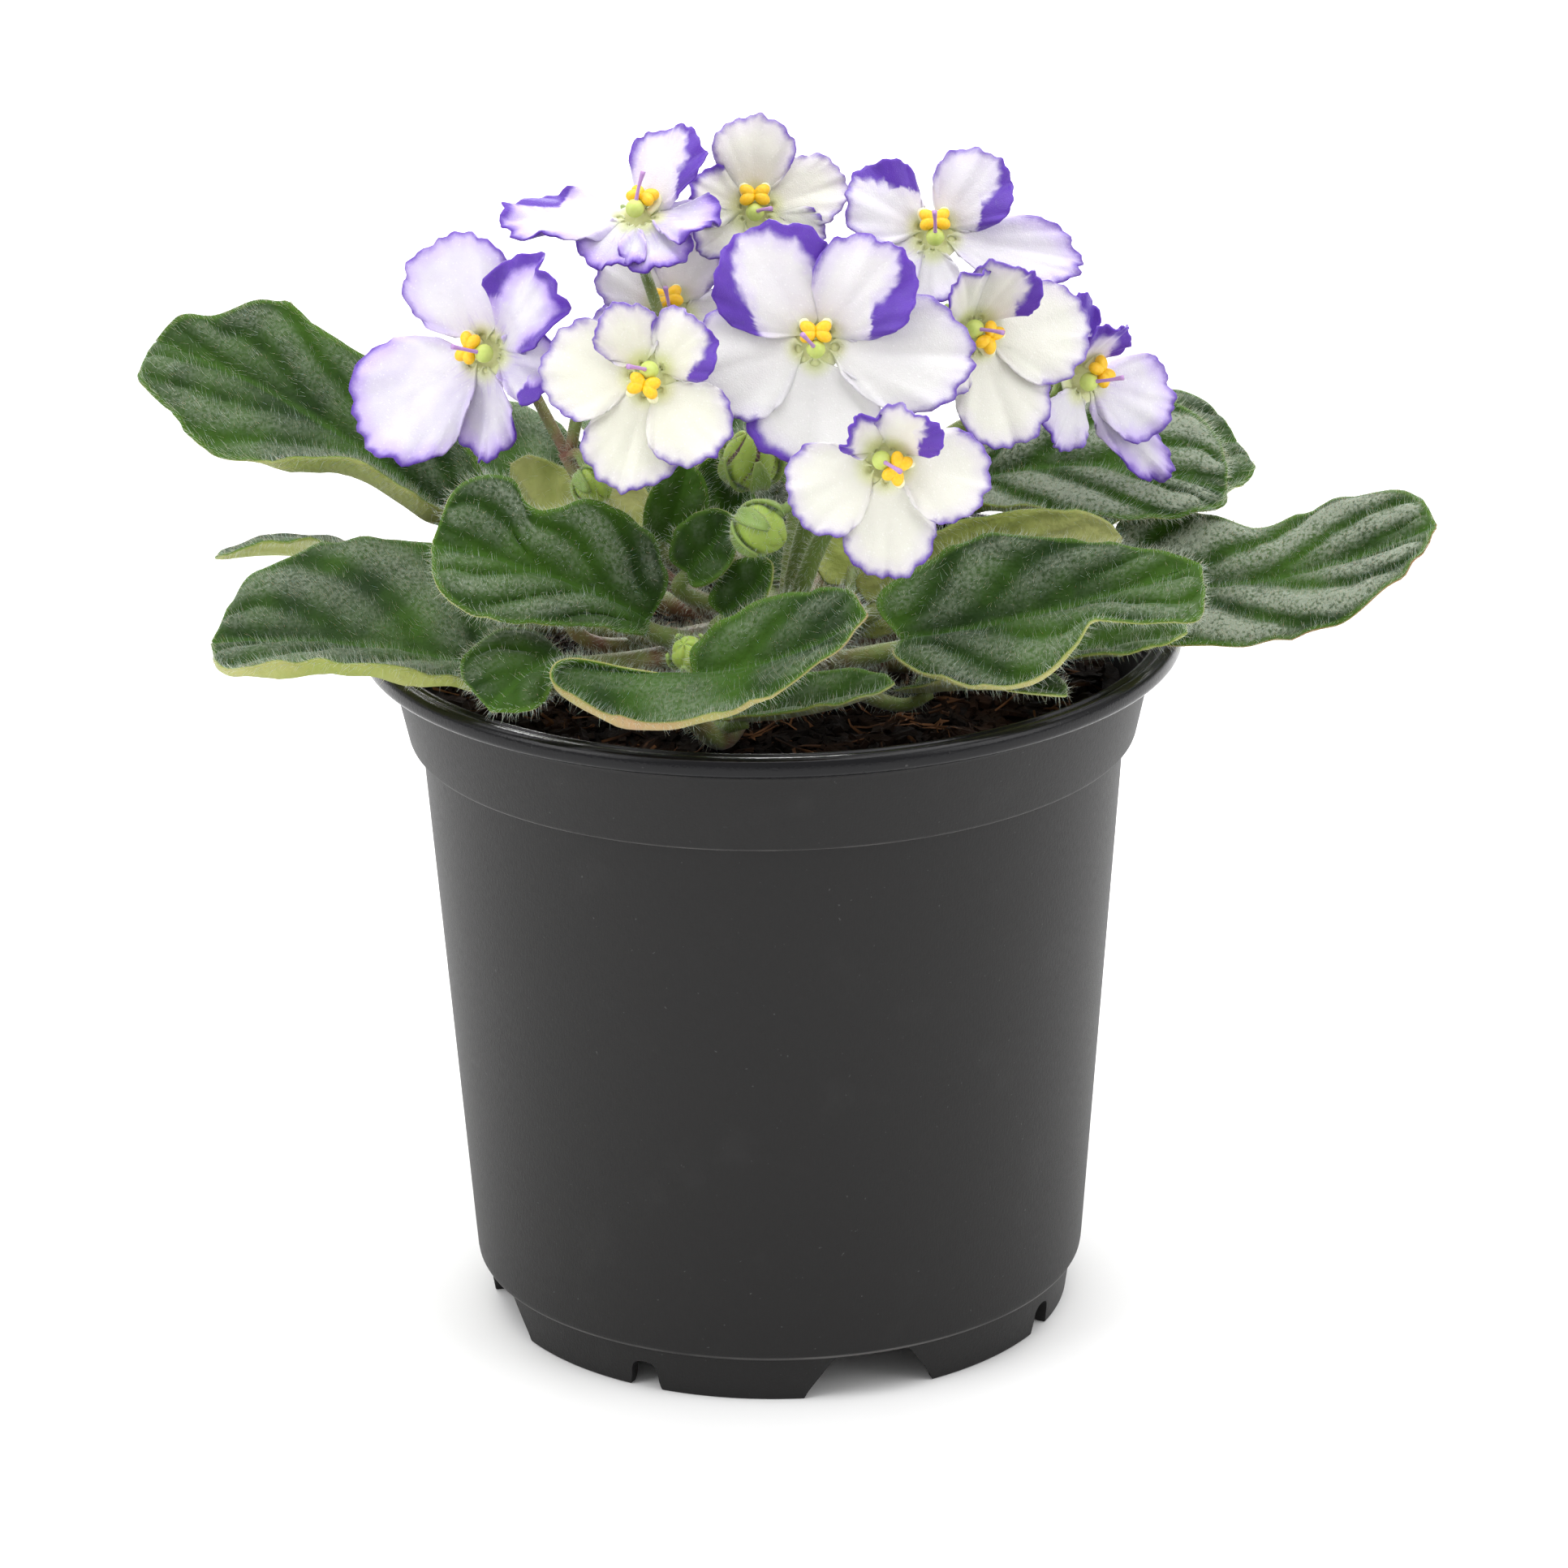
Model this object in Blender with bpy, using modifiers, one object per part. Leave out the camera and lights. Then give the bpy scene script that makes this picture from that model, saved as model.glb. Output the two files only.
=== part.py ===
"""Potted African violet: a nursery pot of potting mix, a rosette of leaves and ten ruffled blooms.

Sizes in the tables are millimetres. The pot stands on Z = 0 with its axis on X = Y = 0.
The front of the plant faces -Y and its right side +X.
"""
import math

import bmesh
import bpy
import numpy as np
from mathutils import Matrix, Vector

MM = 0.001
CLEARANCE = 0.3

# Driving dimensions of the pot
POT_HEIGHT = 104.9
LIP_RADIUS = 60.0
LIP_DEPTH = 4.1
COLLAR_TOP_RADIUS = 55.8
COLLAR_FOOT_RADIUS = 53.2
COLLAR_HEIGHT = 11.8
BODY_TOP_RADIUS = 51.3
BODY_FOOT_RADIUS = 45.6
WALL = 1.6
FLOOR_UNDERSIDE = 7.2
FLOOR_TOP = 9.2
SKIRT_TOP_RADIUS = 44.2
SKIRT_FOOT_RADIUS = 43.0
TURNS = 32
DRAIN_HOLE_RADIUS = 4.0
DRAIN_HOLE_RING = 27.0
DRAIN_HOLES = 4
NOTCH_AZIMUTH = 17.6
NOTCH_PAIRS = 4
WIDE_NOTCH = dict(foot_width=20.0, head_width=11.0, height=6.8)
SMALL_NOTCH = dict(foot_width=4.8, head_width=3.0, height=4.4)

# Driving dimensions of the soil, the crown and the plant's tissues
SOIL_LEVEL = 96.0
SOIL_LUMP = 1.1
CROWN_RADIUS = 7.0
CROWN_TOP = 107.0
CROWN_SHOULDER = 100.0
CROWN_FOOT = 84.0
PETIOLE_RADIUS = 1.6
PETIOLE_TAPER = 0.7
PETIOLE_LAP = 1.0
PEDUNCLE_RADIUS = 1.15
PEDICEL_RADIUS = 0.8
CALYX_LENGTH = 2.2
CALYX_RADII = (1.0, 2.3)
BLADE = 0.8
PETAL = 0.7
PETAL_START = 1.8
THROAT_RADIUS = 2.9
THROAT_DEPTH = 2.0
THROAT_LIP = 0.5
OVARY_RADIUS = 1.35
STYLE_RADIUS = 0.32
STYLE_LENGTH = 5.5
ANTHER_SIZE = (1.35, 1.0, 0.9)
ANTHER_SPREAD = 0.95
FILAMENT_RADIUS = 0.45
FILAMENT_REACH = 1.6
FILAMENT_RISE = 1.8

# Steps of the grids and tubes
SHAPED_LEAF_GRID = (8, 3)
PLAIN_LEAF_GRID = (6, 2)
PETAL_GRID = (2, 7)

# Leaves. base and tip are the ends of the midrib, up is the way the upper face looks, arch
# bends the midrib, and left and right are stations on each edge: share of the midrib's length,
# distance out, and rise above the midrib's plane. Plain leaves have a width and a cup instead.
# via is where the stalk passes on its way from the crown to the base.
LEAVES = {
    "leaf_01": dict(base=(-46, 10, 117), tip=(-92, 42, 136), up=(-0.1, -0.45, 0.9), arch=0.08,
                    left=[(0.04, 5, 4), (0.22, 8, 6), (0.42, 13, 3), (0.6, 14.5, 0), (0.78, 11, 0),
                          (0.93, 8, 0)],
                    right=[(0.0, 6, 3), (0.3, 11, 5), (0.55, 10.5, 5), (0.72, 11.5, 6), (0.86, 7, 3),
                           (0.97, 4, 2)],
                    via=(-24, 6, 108)),
    "leaf_02": dict(base=(-38, -28, 107), tip=(-80, -22, 110), up=(0, -0.22, 1), arch=0.05,
                    left=[(0.02, 7, 1), (0.3, 12, 3), (0.65, 12, 2), (0.9, 9, 0)],
                    right=[(-0.02, 10, 3), (0.3, 21, 5), (0.62, 20, 5), (0.9, 14, 3)],
                    via=(-20, -15, 103)),
    "leaf_03": dict(base=(-17, -32, 116), tip=(-47, -42, 131), up=(-0.15, -0.6, 0.8), arch=0.06,
                    left=[(0.03, 3, 0), (0.3, 6.5, 1), (0.55, 9.5, 1), (0.8, 11, 1), (0.97, 8, 1)],
                    right=[(0.0, 5, 3), (0.13, 9.5, 5), (0.3, 10.5, 6), (0.45, 10, 6), (0.62, 7, 4),
                           (0.74, 11, 4), (0.92, 9, 3)],
                    via=(-9, -22, 109)),
    "leaf_04": dict(base=(-29, -42, 114.5), tip=(-39, -54, 110.5), up=(-0.1, -0.5, 0.85), arch=0.12,
                    left=[(0.0, 3, 1), (0.4, 4.5, 0), (0.8, 4.5, -1)],
                    right=[(0.0, 5, 1), (0.4, 8.5, 1), (0.8, 8, 0)],
                    via=(-16, -28, 109)),
    "leaf_05": dict(base=(-11, -50, 114), tip=(13, -60, 126), up=(-0.25, -0.45, 0.85), arch=-0.08,
                    left=[(0.0, 3, 2), (0.25, 7, 4), (0.6, 8, 3), (0.88, 6, 1)],
                    right=[(-0.25, 0.5, 2), (-0.5, 1, 3.5), (-0.55, 5, 3.5), (-0.25, 10, 1.5), (0.1, 10.5, 1.5),
                           (0.6, 8, 2), (0.92, 4, 1)],
                    via=(-8, -40, 101)),
    "leaf_06": dict(base=(18, -36, 114), tip=(60, -40, 126), up=(0, -0.45, 0.9), arch=-0.04,
                    left=[(-0.06, 6, 2), (0.1, 10, 4), (0.3, 12.5, 5), (0.6, 9.5, 3), (0.88, 4, 1)],
                    right=[(-0.02, 4, 1), (0.12, 10, 1), (0.3, 13, 0), (0.5, 12, 1), (0.65, 8.5, 4),
                           (0.82, 10, 2), (0.97, 10, 0)],
                    via=(8, -22, 106)),
    "leaf_07": dict(base=(50, 0, 109), tip=(95.5, -12, 122), up=(0, -0.35, 0.9), arch=-0.08,
                    left=[(0.0, 9, 5), (0.2, 12, 5), (0.42, 10, 2), (0.7, 12.5, 2), (0.93, 8, 1)],
                    right=[(0.0, 10, 1), (0.35, 15, 1), (0.7, 15, 1), (0.95, 8, 1)],
                    via=(24, 0, 104)),
    "leaf_08": dict(base=(30, 12, 122), tip=(67, 10, 120), up=(0, -0.45, 0.9), arch=0.12,
                    left=[(0.0, 8, 1), (0.3, 13, 3), (0.7, 13, 3), (0.95, 9, 1)],
                    right=[(0.0, 7, 1), (0.3, 11.5, 2), (0.7, 10, 0), (0.97, 4, 1)],
                    via=(15, 8, 112)),
    "leaf_09": dict(base=(42, 34, 112), tip=(71, 45, 117), up=(0.1, -0.4, 0.9), arch=0.10,
                    left=[(0.0, 9, 2), (0.3, 11, 3), (0.7, 11, 2), (0.95, 8, 1)],
                    right=[(0.0, 9, 1), (0.3, 13, 2), (0.7, 13, 1), (0.95, 8, 1)],
                    via=(20, 16, 107)),
    "leaf_10": dict(base=(-54, 4, 110), tip=(-81, 2, 115), up=(0.1, 0.3, 1), arch=0.10, width=10, cup=2,
                    via=(-27, 0, 104)),
    "leaf_11": dict(base=(-6, -38, 103.5), tip=(17, -44, 110.5), up=(-0.2, -0.1, 1), arch=-0.05,
                    width=6, cup=3,
                    via=(-5, -24, 100.5)),
    "leaf_12": dict(base=(20, -32, 105), tip=(41, -46, 109), up=(0, 0, 1), arch=0.05, width=6, cup=2,
                    via=(10, -18, 101)),
    "leaf_13": dict(base=(36, -14, 104), tip=(59, -24, 110.5), up=(0, -0.1, 1), arch=-0.05, width=9, cup=3,
                    via=(18, -8, 101)),
    "leaf_14": dict(base=(-15, -18, 123), tip=(-11.5, -16, 134), up=(0.1, -1, 0.15), arch=0.06,
                    width=4.5, cup=1.5,
                    via=(-7, -9, 114)),
    "leaf_15": dict(base=(-6.5, -15, 123), tip=(-8, -13, 134), up=(0.1, -1, 0.2), arch=-0.1,
                    width=5, cup=1.5,
                    via=(-3, -8, 114)),
    "leaf_16": dict(base=(-12, -26, 121), tip=(-5.5, -28, 130), up=(-0.4, -0.8, 0.4), arch=-0.1,
                    width=5, cup=2,
                    via=(-5, -14, 111)),
    "leaf_17": dict(base=(-7, -29, 115.5), tip=(0, -33, 124.5), up=(-0.5, -0.7, 0.5), arch=-0.1,
                    width=4.5, cup=2,
                    via=(-2, -15, 107)),
    "leaf_18": dict(base=(-30, -14, 120), tip=(-37, -5, 131), up=(0.4, 0.9, 0.5), arch=0.08, width=7, cup=2,
                    via=(-27, -19, 109)),
    "leaf_19": dict(base=(-22, -12, 120), tip=(-25, -5, 131), up=(0.2, 0.9, 0.3), arch=0.08,
                    width=6, cup=1.5,
                    via=(-20, -17, 109)),
    "leaf_20": dict(base=(14, -15, 112), tip=(51, -4, 118), up=(-0.1, 0.95, 0.35), arch=0.04,
                    width=9.0, cup=0.5,
                    via=(11, -5, 105)),
    "leaf_21": dict(base=(11, -9, 113), tip=(14, -2, 122), up=(0, 0.9, 0.4), arch=0.05, width=5.5, cup=1.5,
                    via=(9, -12, 106)),
    "leaf_22": dict(base=(-32, 28, 113), tip=(-64, 49, 120), up=(-0.3, 0.2, 1), arch=0.06, width=16, cup=4,
                    via=(-16, 14, 106)),
    "leaf_23": dict(base=(-9, 30, 114), tip=(-21, 61, 120), up=(-0.1, 0.2, 1), arch=0.08, width=15, cup=4,
                    via=(-5, 14, 108)),
    "leaf_24": dict(base=(13.5, 32, 112), tip=(15, 62, 113), up=(0.1, 0.1, 1), arch=0.08, width=16, cup=3,
                    via=(7, 15, 105)),
    "leaf_25": dict(base=(0, 24, 103), tip=(-1, 50, 110.5), up=(0, 0, 1), arch=0.06, width=9, cup=2,
                    via=(0, 12, 101)),
}

# Blooms. centre is the middle of the throat and face its azimuth, elevation and roll in degrees.
# stamens and style are directions in the bloom's own plane, 0 upwards and 90 to its right.
# Each petal is angle, length, width, lift, curl, cup, twist and ruffle.
BLOOMS = {
    "bloom_01": dict(centre=(-39.7, -15, 150.4), face=(-30, 20, 0), stamens=-80, style=-85, petals=[
        (-25, 15.5, 18, 10, 10, 10, 0, 0.8), (-128, 21, 19, 5, 5, 5, 0, 0.8), (176, 13.5, 10, 0, -10, 10, 0, 0.9),
        (48, 18, 13, 12, 15, 20, 0, 1.6), (95, 11.5, 12, 3, 10, 15, 0, 1.4)]),
    "bloom_02": dict(centre=(-16.6, -30, 151), face=(-5, 25, 0), stamens=195, style=-95, petals=[
        (-85, 13.3, 14.5, 5, 0, 5, 0, 0.5), (-166, 14.5, 14, 0, 0, 5, 0, 0.5), (138, 13, 13, 5, 0, 5, 0, 0.5),
        (-28, 9.5, 9.5, 25, 0, 5, 0, 0.7), (52, 9.5, 11.5, 20, 0, 5, 0, 0.7)]),
    "bloom_03": dict(centre=(6.7, -25, 153.9), face=(0, 22, 0), stamens=0, style=-50, petals=[
        (-33, 17, 18, 8, 10, 8, 0, 0.8), (42, 16, 15.5, 8, 10, 8, 0, 0.8), (97, 20.5, 17, 5, 0, 5, 0, 0.7),
        (-102, 15.5, 17, 5, 0, 5, 0, 0.7), (183, 15.5, 19.5, 5, 0, 5, 0, 0.9)]),
    "bloom_04": dict(centre=(15.9, -45, 142.9), face=(5, 15, 0), stamens=120, style=125, petals=[
        (-112, 13, 13.5, 5, 0, 5, 0, 0.5), (178, 14.5, 13, 0, 0, 5, 0, 0.5), (104, 13, 13.5, 5, 0, 5, 0, 0.6),
        (35, 9, 10, 40, 10, 5, 0, 0.7), (-35, 7, 8, 28, 20, 5, 0, 0.8)]),
    "bloom_05": dict(centre=(29.1, -15, 152.4), face=(22, 20, 0), stamens=130, style=120, petals=[
        (97, 15.5, 15, 5, 0, 5, 0, 0.5), (162, 15.5, 15, 5, 0, 5, 0, 0.6), (30, 10.5, 11, 35, 20, 5, 0, 0.7),
        (-20, 9.5, 9, 40, 10, 5, 0, 0.7), (-130, 9, 9, 5, 0, 5, 0, 0.6)]),
    "bloom_06": dict(centre=(45.1, -3.5, 142.1), face=(38, 10, 0), stamens=60, style=80, petals=[
        (118, 14, 13, 10, 0, 5, 0, 0.7), (142, 20, 8.5, 5, 0, 5, 0, 0.8), (-140, 9.5, 9, 5, 0, 5, 0, 0.6),
        (-18, 12, 10, 10, 0, 5, 0, 0.7), (12, 8, 8, 40, 0, 5, 0, 0.7)]),
    "bloom_07": dict(centre=(24, 5, 161.2), face=(5, 30, 0), stamens=0, style=-10, petals=[
        (-58, 12.5, 13, 10, 0, 8, 0, 0.8), (45, 12, 12.5, 10, 0, 8, 0, 0.8), (104, 20, 11, 0, 0, 5, 0, 0.7),
        (-120, 10, 9, 5, 0, 5, 0, 0.6), (188, 8.5, 9, 5, 0, 5, 0, 0.6)]),
    "bloom_08": dict(centre=(-1.6, 16, 162.2), face=(0, 30, 0), stamens=0, style=110, petals=[
        (0, 11.5, 12, 10, 0, 5, 0, 0.6), (72, 12.3, 11, 5, 0, 5, 0, 0.6), (-75, 8.5, 9.5, 20, 0, 5, 0, 0.8),
        (120, 9.5, 8, 5, 0, 5, 0, 0.6), (-125, 8.5, 8, 5, 0, 5, 0, 0.8)]),
    "bloom_09": dict(centre=(-18.3, 5, 164.4), face=(-10, 72, 0), stamens=20, style=30, petals=[
        (28, 12, 12, 30, 0, 5, 0, 0.7), (-100, 18, 13, 4, 0, 5, 0, 1.0), (95, 10.5, 11, 5, 0, 5, 0, 0.9),
        (150, 9, 11, 0, -20, 5, 0, 0.8), (-155, 9, 11, 0, -15, 5, 0, 0.8)]),
    "bloom_10": dict(centre=(-14.2, 14, 147.4), face=(0, 35, 0), stamens=-10, style=-15, petals=[
        (-48, 11, 11, 12, 0, 5, 0, 0.6), (22, 10, 10.5, 12, 0, 5, 0, 0.6), (95, 9, 9, 5, 0, 5, 0, 0.6),
        (-108, 10, 9, 5, 0, 5, 0, 0.6), (172, 8, 10, 25, 0, 5, 0, 0.6)]),
}

# Flower stalks: route of the shared stalk, then the blooms and buds on its fork
FLOWER_STALKS = [
    dict(route=[(-4, -4, 104), (-14, -16, 116), (-23, -19, 126), (-29, -16, 136)],
         blooms=["bloom_01", "bloom_02"], buds=[((-25, -22, 133), 2.6)]),
    dict(route=[(2, -3, 104), (4, -10, 118), (7, -13, 130), (9, -13, 140)],
         blooms=["bloom_03", "bloom_05"], buds=[((-2.6, -19, 135.2), 4.0)]),
    dict(route=[(3, -5, 104), (4, -22, 116), (7, -28, 126), (11, -33, 134)],
         blooms=["bloom_04"], buds=[((-1.6, -34, 130), 3.5)]),
    dict(route=[(2, 3, 104), (4, 10, 122), (5, 15, 140), (6, 17, 148)],
         blooms=["bloom_07", "bloom_08"], buds=[]),
    dict(route=[(-3, -2, 104), (-8, -6, 122), (-11, -5, 138), (-15, -1, 150)], blooms=["bloom_09"], buds=[]),
    dict(route=[(-1, 3, 104), (-5, 10, 120), (-9, 15, 134)], blooms=["bloom_10"], buds=[]),
    dict(route=[(5, 1, 104), (16, 7, 121), (28, 9, 131), (37, 4, 135)], blooms=["bloom_06"], buds=[]),
]
LOW_BUD = dict(route=[(-2, -6, 103), (-7, -26, 108), (-11, -38, 111)], centre=(-11.5, -40, 113.5), radius=2.6)


def clear_scene():
    for item in list(bpy.data.objects):
        bpy.data.objects.remove(item, do_unlink=True)


def new_collection(name):
    collection = bpy.data.collections.new(name)
    bpy.context.scene.collection.children.link(collection)
    return collection


def make_material(name, colour, roughness, metallic=0.0):
    material = bpy.data.materials.new(name)
    material.use_nodes = True
    shader = material.node_tree.nodes["Principled BSDF"]
    shader.inputs["Base Color"].default_value = (*colour, 1.0)
    shader.inputs["Roughness"].default_value = roughness
    shader.inputs["Metallic"].default_value = metallic
    return material


def make_object(name, mesh, collection, material=None):
    item = bpy.data.objects.new(name, mesh)
    collection.objects.link(item)
    if material is not None:
        mesh.materials.clear()
        mesh.materials.append(material)
    return item


def mesh_of(name, work):
    mesh = bpy.data.meshes.new(name)
    work.to_mesh(mesh)
    work.free()
    return mesh


def evaluated_mesh(item):
    """The object's shape with its modifiers applied, placed in the world."""
    bpy.context.view_layer.update()
    graph = bpy.context.evaluated_depsgraph_get()
    mesh = bpy.data.meshes.new_from_object(item.evaluated_get(graph), depsgraph=graph)
    mesh.transform(item.matrix_world)
    return mesh


def weld(mesh, distance=1e-6):
    work = bmesh.new()
    work.from_mesh(mesh)
    bmesh.ops.remove_doubles(work, verts=work.verts, dist=distance)
    bmesh.ops.dissolve_degenerate(work, edges=work.edges, dist=distance)
    work.to_mesh(mesh)
    work.free()
    return mesh


def keep_largest_shell(mesh):
    """Fills hollows that joining sealed, and drops loose scraps: only the outer skin stays."""
    work = bmesh.new()
    work.from_mesh(mesh)
    shells, seen = [], set()
    for first in work.faces:
        if first in seen:
            continue
        shell, front = [], [first]
        seen.add(first)
        while front:
            face = front.pop()
            shell.append(face)
            for edge in face.edges:
                fresh = [other for other in edge.link_faces if other not in seen]
                seen.update(fresh)
                front.extend(fresh)
        shells.append(shell)
    shells.sort(key=len)
    spare = [face for shell in shells[:-1] for face in shell]
    bmesh.ops.delete(work, geom=spare, context="FACES")
    work.to_mesh(mesh)
    work.free()
    return mesh


def join_collection(name, pieces, target, material):
    """Fuses the collection's solids into one object and removes them."""
    body = pieces.objects[0]
    pieces.objects.unlink(body)
    target.objects.link(body)
    body.name = name
    if len(pieces.objects) > 0:
        union = body.modifiers.new("join", "BOOLEAN")
        union.operation = "UNION"
        union.operand_type = "COLLECTION"
        union.collection = pieces
        union.solver = "MANIFOLD"
    fused = keep_largest_shell(weld(evaluated_mesh(body), 2e-6))
    body.modifiers.clear()
    body.data = fused
    body.matrix_world = Matrix.Identity(4)
    for piece in list(pieces.objects):
        bpy.data.objects.remove(piece, do_unlink=True)
    bpy.data.collections.remove(pieces)
    fused.materials.clear()
    fused.materials.append(material)
    return body


def cut(item, cutter):
    """Takes one cutter out of the item and leaves the cutter as a hidden guide."""
    cutter.hide_render = True
    cutter.display_type = "WIRE"
    notch = item.modifiers.new("cut", "BOOLEAN")
    notch.operation = "DIFFERENCE"
    notch.object = cutter
    notch.solver = "EXACT"


def smooth(item, degrees):
    item.data.shade_smooth()
    item.data.set_sharp_from_angle(angle=math.radians(degrees))


def turned(name, profile, collection):
    """A profile of (radius, height) in millimetres, turned round the Z axis."""
    mesh = bpy.data.meshes.new(name)
    points = [(radius * MM, 0.0, height * MM) for radius, height in profile]
    mesh.from_pydata(points, [(i, i + 1) for i in range(len(points) - 1)], [])
    item = make_object(name, mesh, collection)
    screw = item.modifiers.new("turn", "SCREW")
    screw.steps = TURNS
    screw.render_steps = TURNS
    screw.use_merge_vertices = True
    screw.merge_threshold = 0.00001
    return item


def tube(name, points, radii, collection, count, resolution=1):
    """A round stalk through the points, as a closed mesh."""
    curve = bpy.data.curves.new(name, "CURVE")
    curve.dimensions = "3D"
    curve.bevel_depth = MM
    curve.bevel_resolution = resolution
    curve.use_fill_caps = True
    route = smooth_curve(points, count)
    sizes = np.interp(np.linspace(0, 1, count), np.linspace(0, 1, len(radii)), radii)
    spline = curve.splines.new("POLY")
    spline.points.add(count - 1)
    for point, place, size in zip(spline.points, route, sizes):
        point.co = (*(place * MM), 1.0)
        point.radius = size
    guide = bpy.data.objects.new(name + "_route", curve)
    collection.objects.link(guide)
    mesh = weld(evaluated_mesh(guide), 1e-6)
    bpy.data.objects.remove(guide, do_unlink=True)
    return make_object(name, mesh, collection)


def ball(name, centre, radii, axes, collection, segments=8, rings=6):
    """An ellipsoid whose radii lie along the three axes."""
    work = bmesh.new()
    bmesh.ops.create_uvsphere(work, u_segments=segments, v_segments=rings, radius=1.0)
    turn = Matrix([list(axis) for axis in axes]).transposed()
    size = Matrix.Diagonal([r * MM for r in radii])
    place = Matrix.Translation(Vector(centre) * MM) @ (turn @ size).to_4x4()
    bmesh.ops.transform(work, matrix=place, verts=work.verts)
    bmesh.ops.recalc_face_normals(work, faces=work.faces)
    return make_object(name, mesh_of(name, work), collection)


def frustum(name, foot, head, foot_radius, head_radius, collection, segments=10):
    """A round frustum from foot to head."""
    foot, head = Vector(foot) * MM, Vector(head) * MM
    work = bmesh.new()
    bmesh.ops.create_cone(work, cap_ends=True, segments=segments, radius1=foot_radius * MM,
                          radius2=head_radius * MM, depth=(head - foot).length)
    turn = (head - foot).to_track_quat("Z", "Y").to_matrix().to_4x4()
    bmesh.ops.transform(work, matrix=Matrix.Translation((foot + head) / 2) @ turn, verts=work.verts)
    return make_object(name, mesh_of(name, work), collection)


def unit(vector):
    vector = np.asarray(vector, float)
    return vector / np.linalg.norm(vector, axis=-1, keepdims=True)


def smooth_curve(points, count):
    """A smooth curve through the points, read at count even steps of its own parameter."""
    points = np.asarray(points, float)
    knots = np.concatenate([[0.0], np.cumsum(np.linalg.norm(np.diff(points, axis=0), axis=1) ** 0.5)])
    slopes = np.gradient(points, knots, axis=0, edge_order=1)
    wanted = np.linspace(0.0, knots[-1], count)
    span = np.clip(np.searchsorted(knots, wanted, side="right") - 1, 0, len(knots) - 2)
    step = (knots[span + 1] - knots[span])[:, None]
    t = (wanted - knots[span])[:, None] / step
    return ((2 * t ** 3 - 3 * t ** 2 + 1) * points[span] + (t ** 3 - 2 * t ** 2 + t) * step * slopes[span]
            + (3 * t ** 2 - 2 * t ** 3) * points[span + 1] + (t ** 3 - t ** 2) * step * slopes[span + 1])


def is_plain(leaf):
    """A plain leaf has a width, and a shaped leaf has stations on its edges."""
    return "width" in leaf


def edge_stations(leaf, side):
    """The leaf's own stations, or a plain heart shape of the stated width and cup."""
    if side in leaf:
        return leaf[side]
    width, cup = leaf["width"], leaf["cup"]
    return [(-0.04, 0.55 * width, 0.5 * cup), (0.12, 0.85 * width, 0.8 * cup), (0.38, width, cup),
            (0.68, 0.88 * width, 0.7 * cup), (0.92, 0.5 * width, 0.2 * cup)]


def leaf_grid(leaf, rows, columns):
    """Blade in rows from base to tip, its columns from the left edge over the midrib to the right."""
    base = np.array(leaf["base"], float)
    tip = np.array(leaf["tip"], float)
    length = np.linalg.norm(tip - base)
    ahead = unit(tip - base)
    up = np.array(leaf["up"], float)
    up = unit(up - ahead * np.dot(up, ahead))
    arch = leaf["arch"]

    def midrib(share):
        hump = (4 * share * (1 - share))[:, None]
        return base + length * (share[:, None] * ahead + hump * arch * up)

    def across(share):
        slope = (4 * (1 - 2 * np.clip(share, 0, 1)))[:, None]
        along = unit(ahead + slope * arch * up)
        side = unit(np.cross(up, along))
        return side, np.cross(along, side)

    middle = np.linspace(0.0, 1.0, rows + 1)
    grid = np.zeros((rows + 1, 2 * columns + 1, 3))
    grid[:, columns] = midrib(middle)
    for sign, name in ((1, "left"), (-1, "right")):
        stations = [(0.0, 0.0, 0.0)] + edge_stations(leaf, name) + [(1.0, 0.0, 0.0)]
        scale = np.array((length, 1.0, 1.0))
        edge = smooth_curve(np.array(stations, float) * scale, rows + 1) / scale
        for column in range(1, columns + 1):
            w = column / columns
            share = middle + (edge[:, 0] - middle) * w ** 1.15
            side, normal = across(share)
            out = sign * edge[:, 1] * w
            rise = edge[:, 2] * w ** 1.6 + 0.06 * np.abs(edge[:, 1]) * math.sin(math.pi * w)
            grid[:, columns - sign * column] = midrib(share) + side * out[:, None] + normal * rise[:, None]
    return grid


def bloom_frame(face):
    """Right, up and facing directions of a bloom. Azimuth 0 looks to the front and 90 to +X."""
    azimuth, elevation, roll = (math.radians(angle) for angle in face)
    facing = np.array((math.sin(azimuth) * math.cos(elevation), -math.cos(azimuth) * math.cos(elevation),
                       math.sin(elevation)))
    right = unit(np.cross((0.0, 0.0, 1.0), facing))
    up = np.cross(facing, right)
    return (right * math.cos(roll) - up * math.sin(roll), right * math.sin(roll) + up * math.cos(roll), facing)


def in_plane(bloom, angle):
    """The direction at an angle in the bloom's own plane, and the direction a quarter turn on."""
    right, up, _ = bloom_frame(bloom["face"])
    turn = math.radians(angle)
    return math.sin(turn) * right + math.cos(turn) * up, math.cos(turn) * right - math.sin(turn) * up


def petal_level(angle):
    """Neighbouring petals lie in layers: the upper two in front, the lowest behind."""
    angle = (angle + 180) % 360 - 180
    if abs(angle) <= 60:
        return 1.5 if angle < 0 else 2.7
    return 0.2 if abs(angle) <= 140 else -1.1


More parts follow.
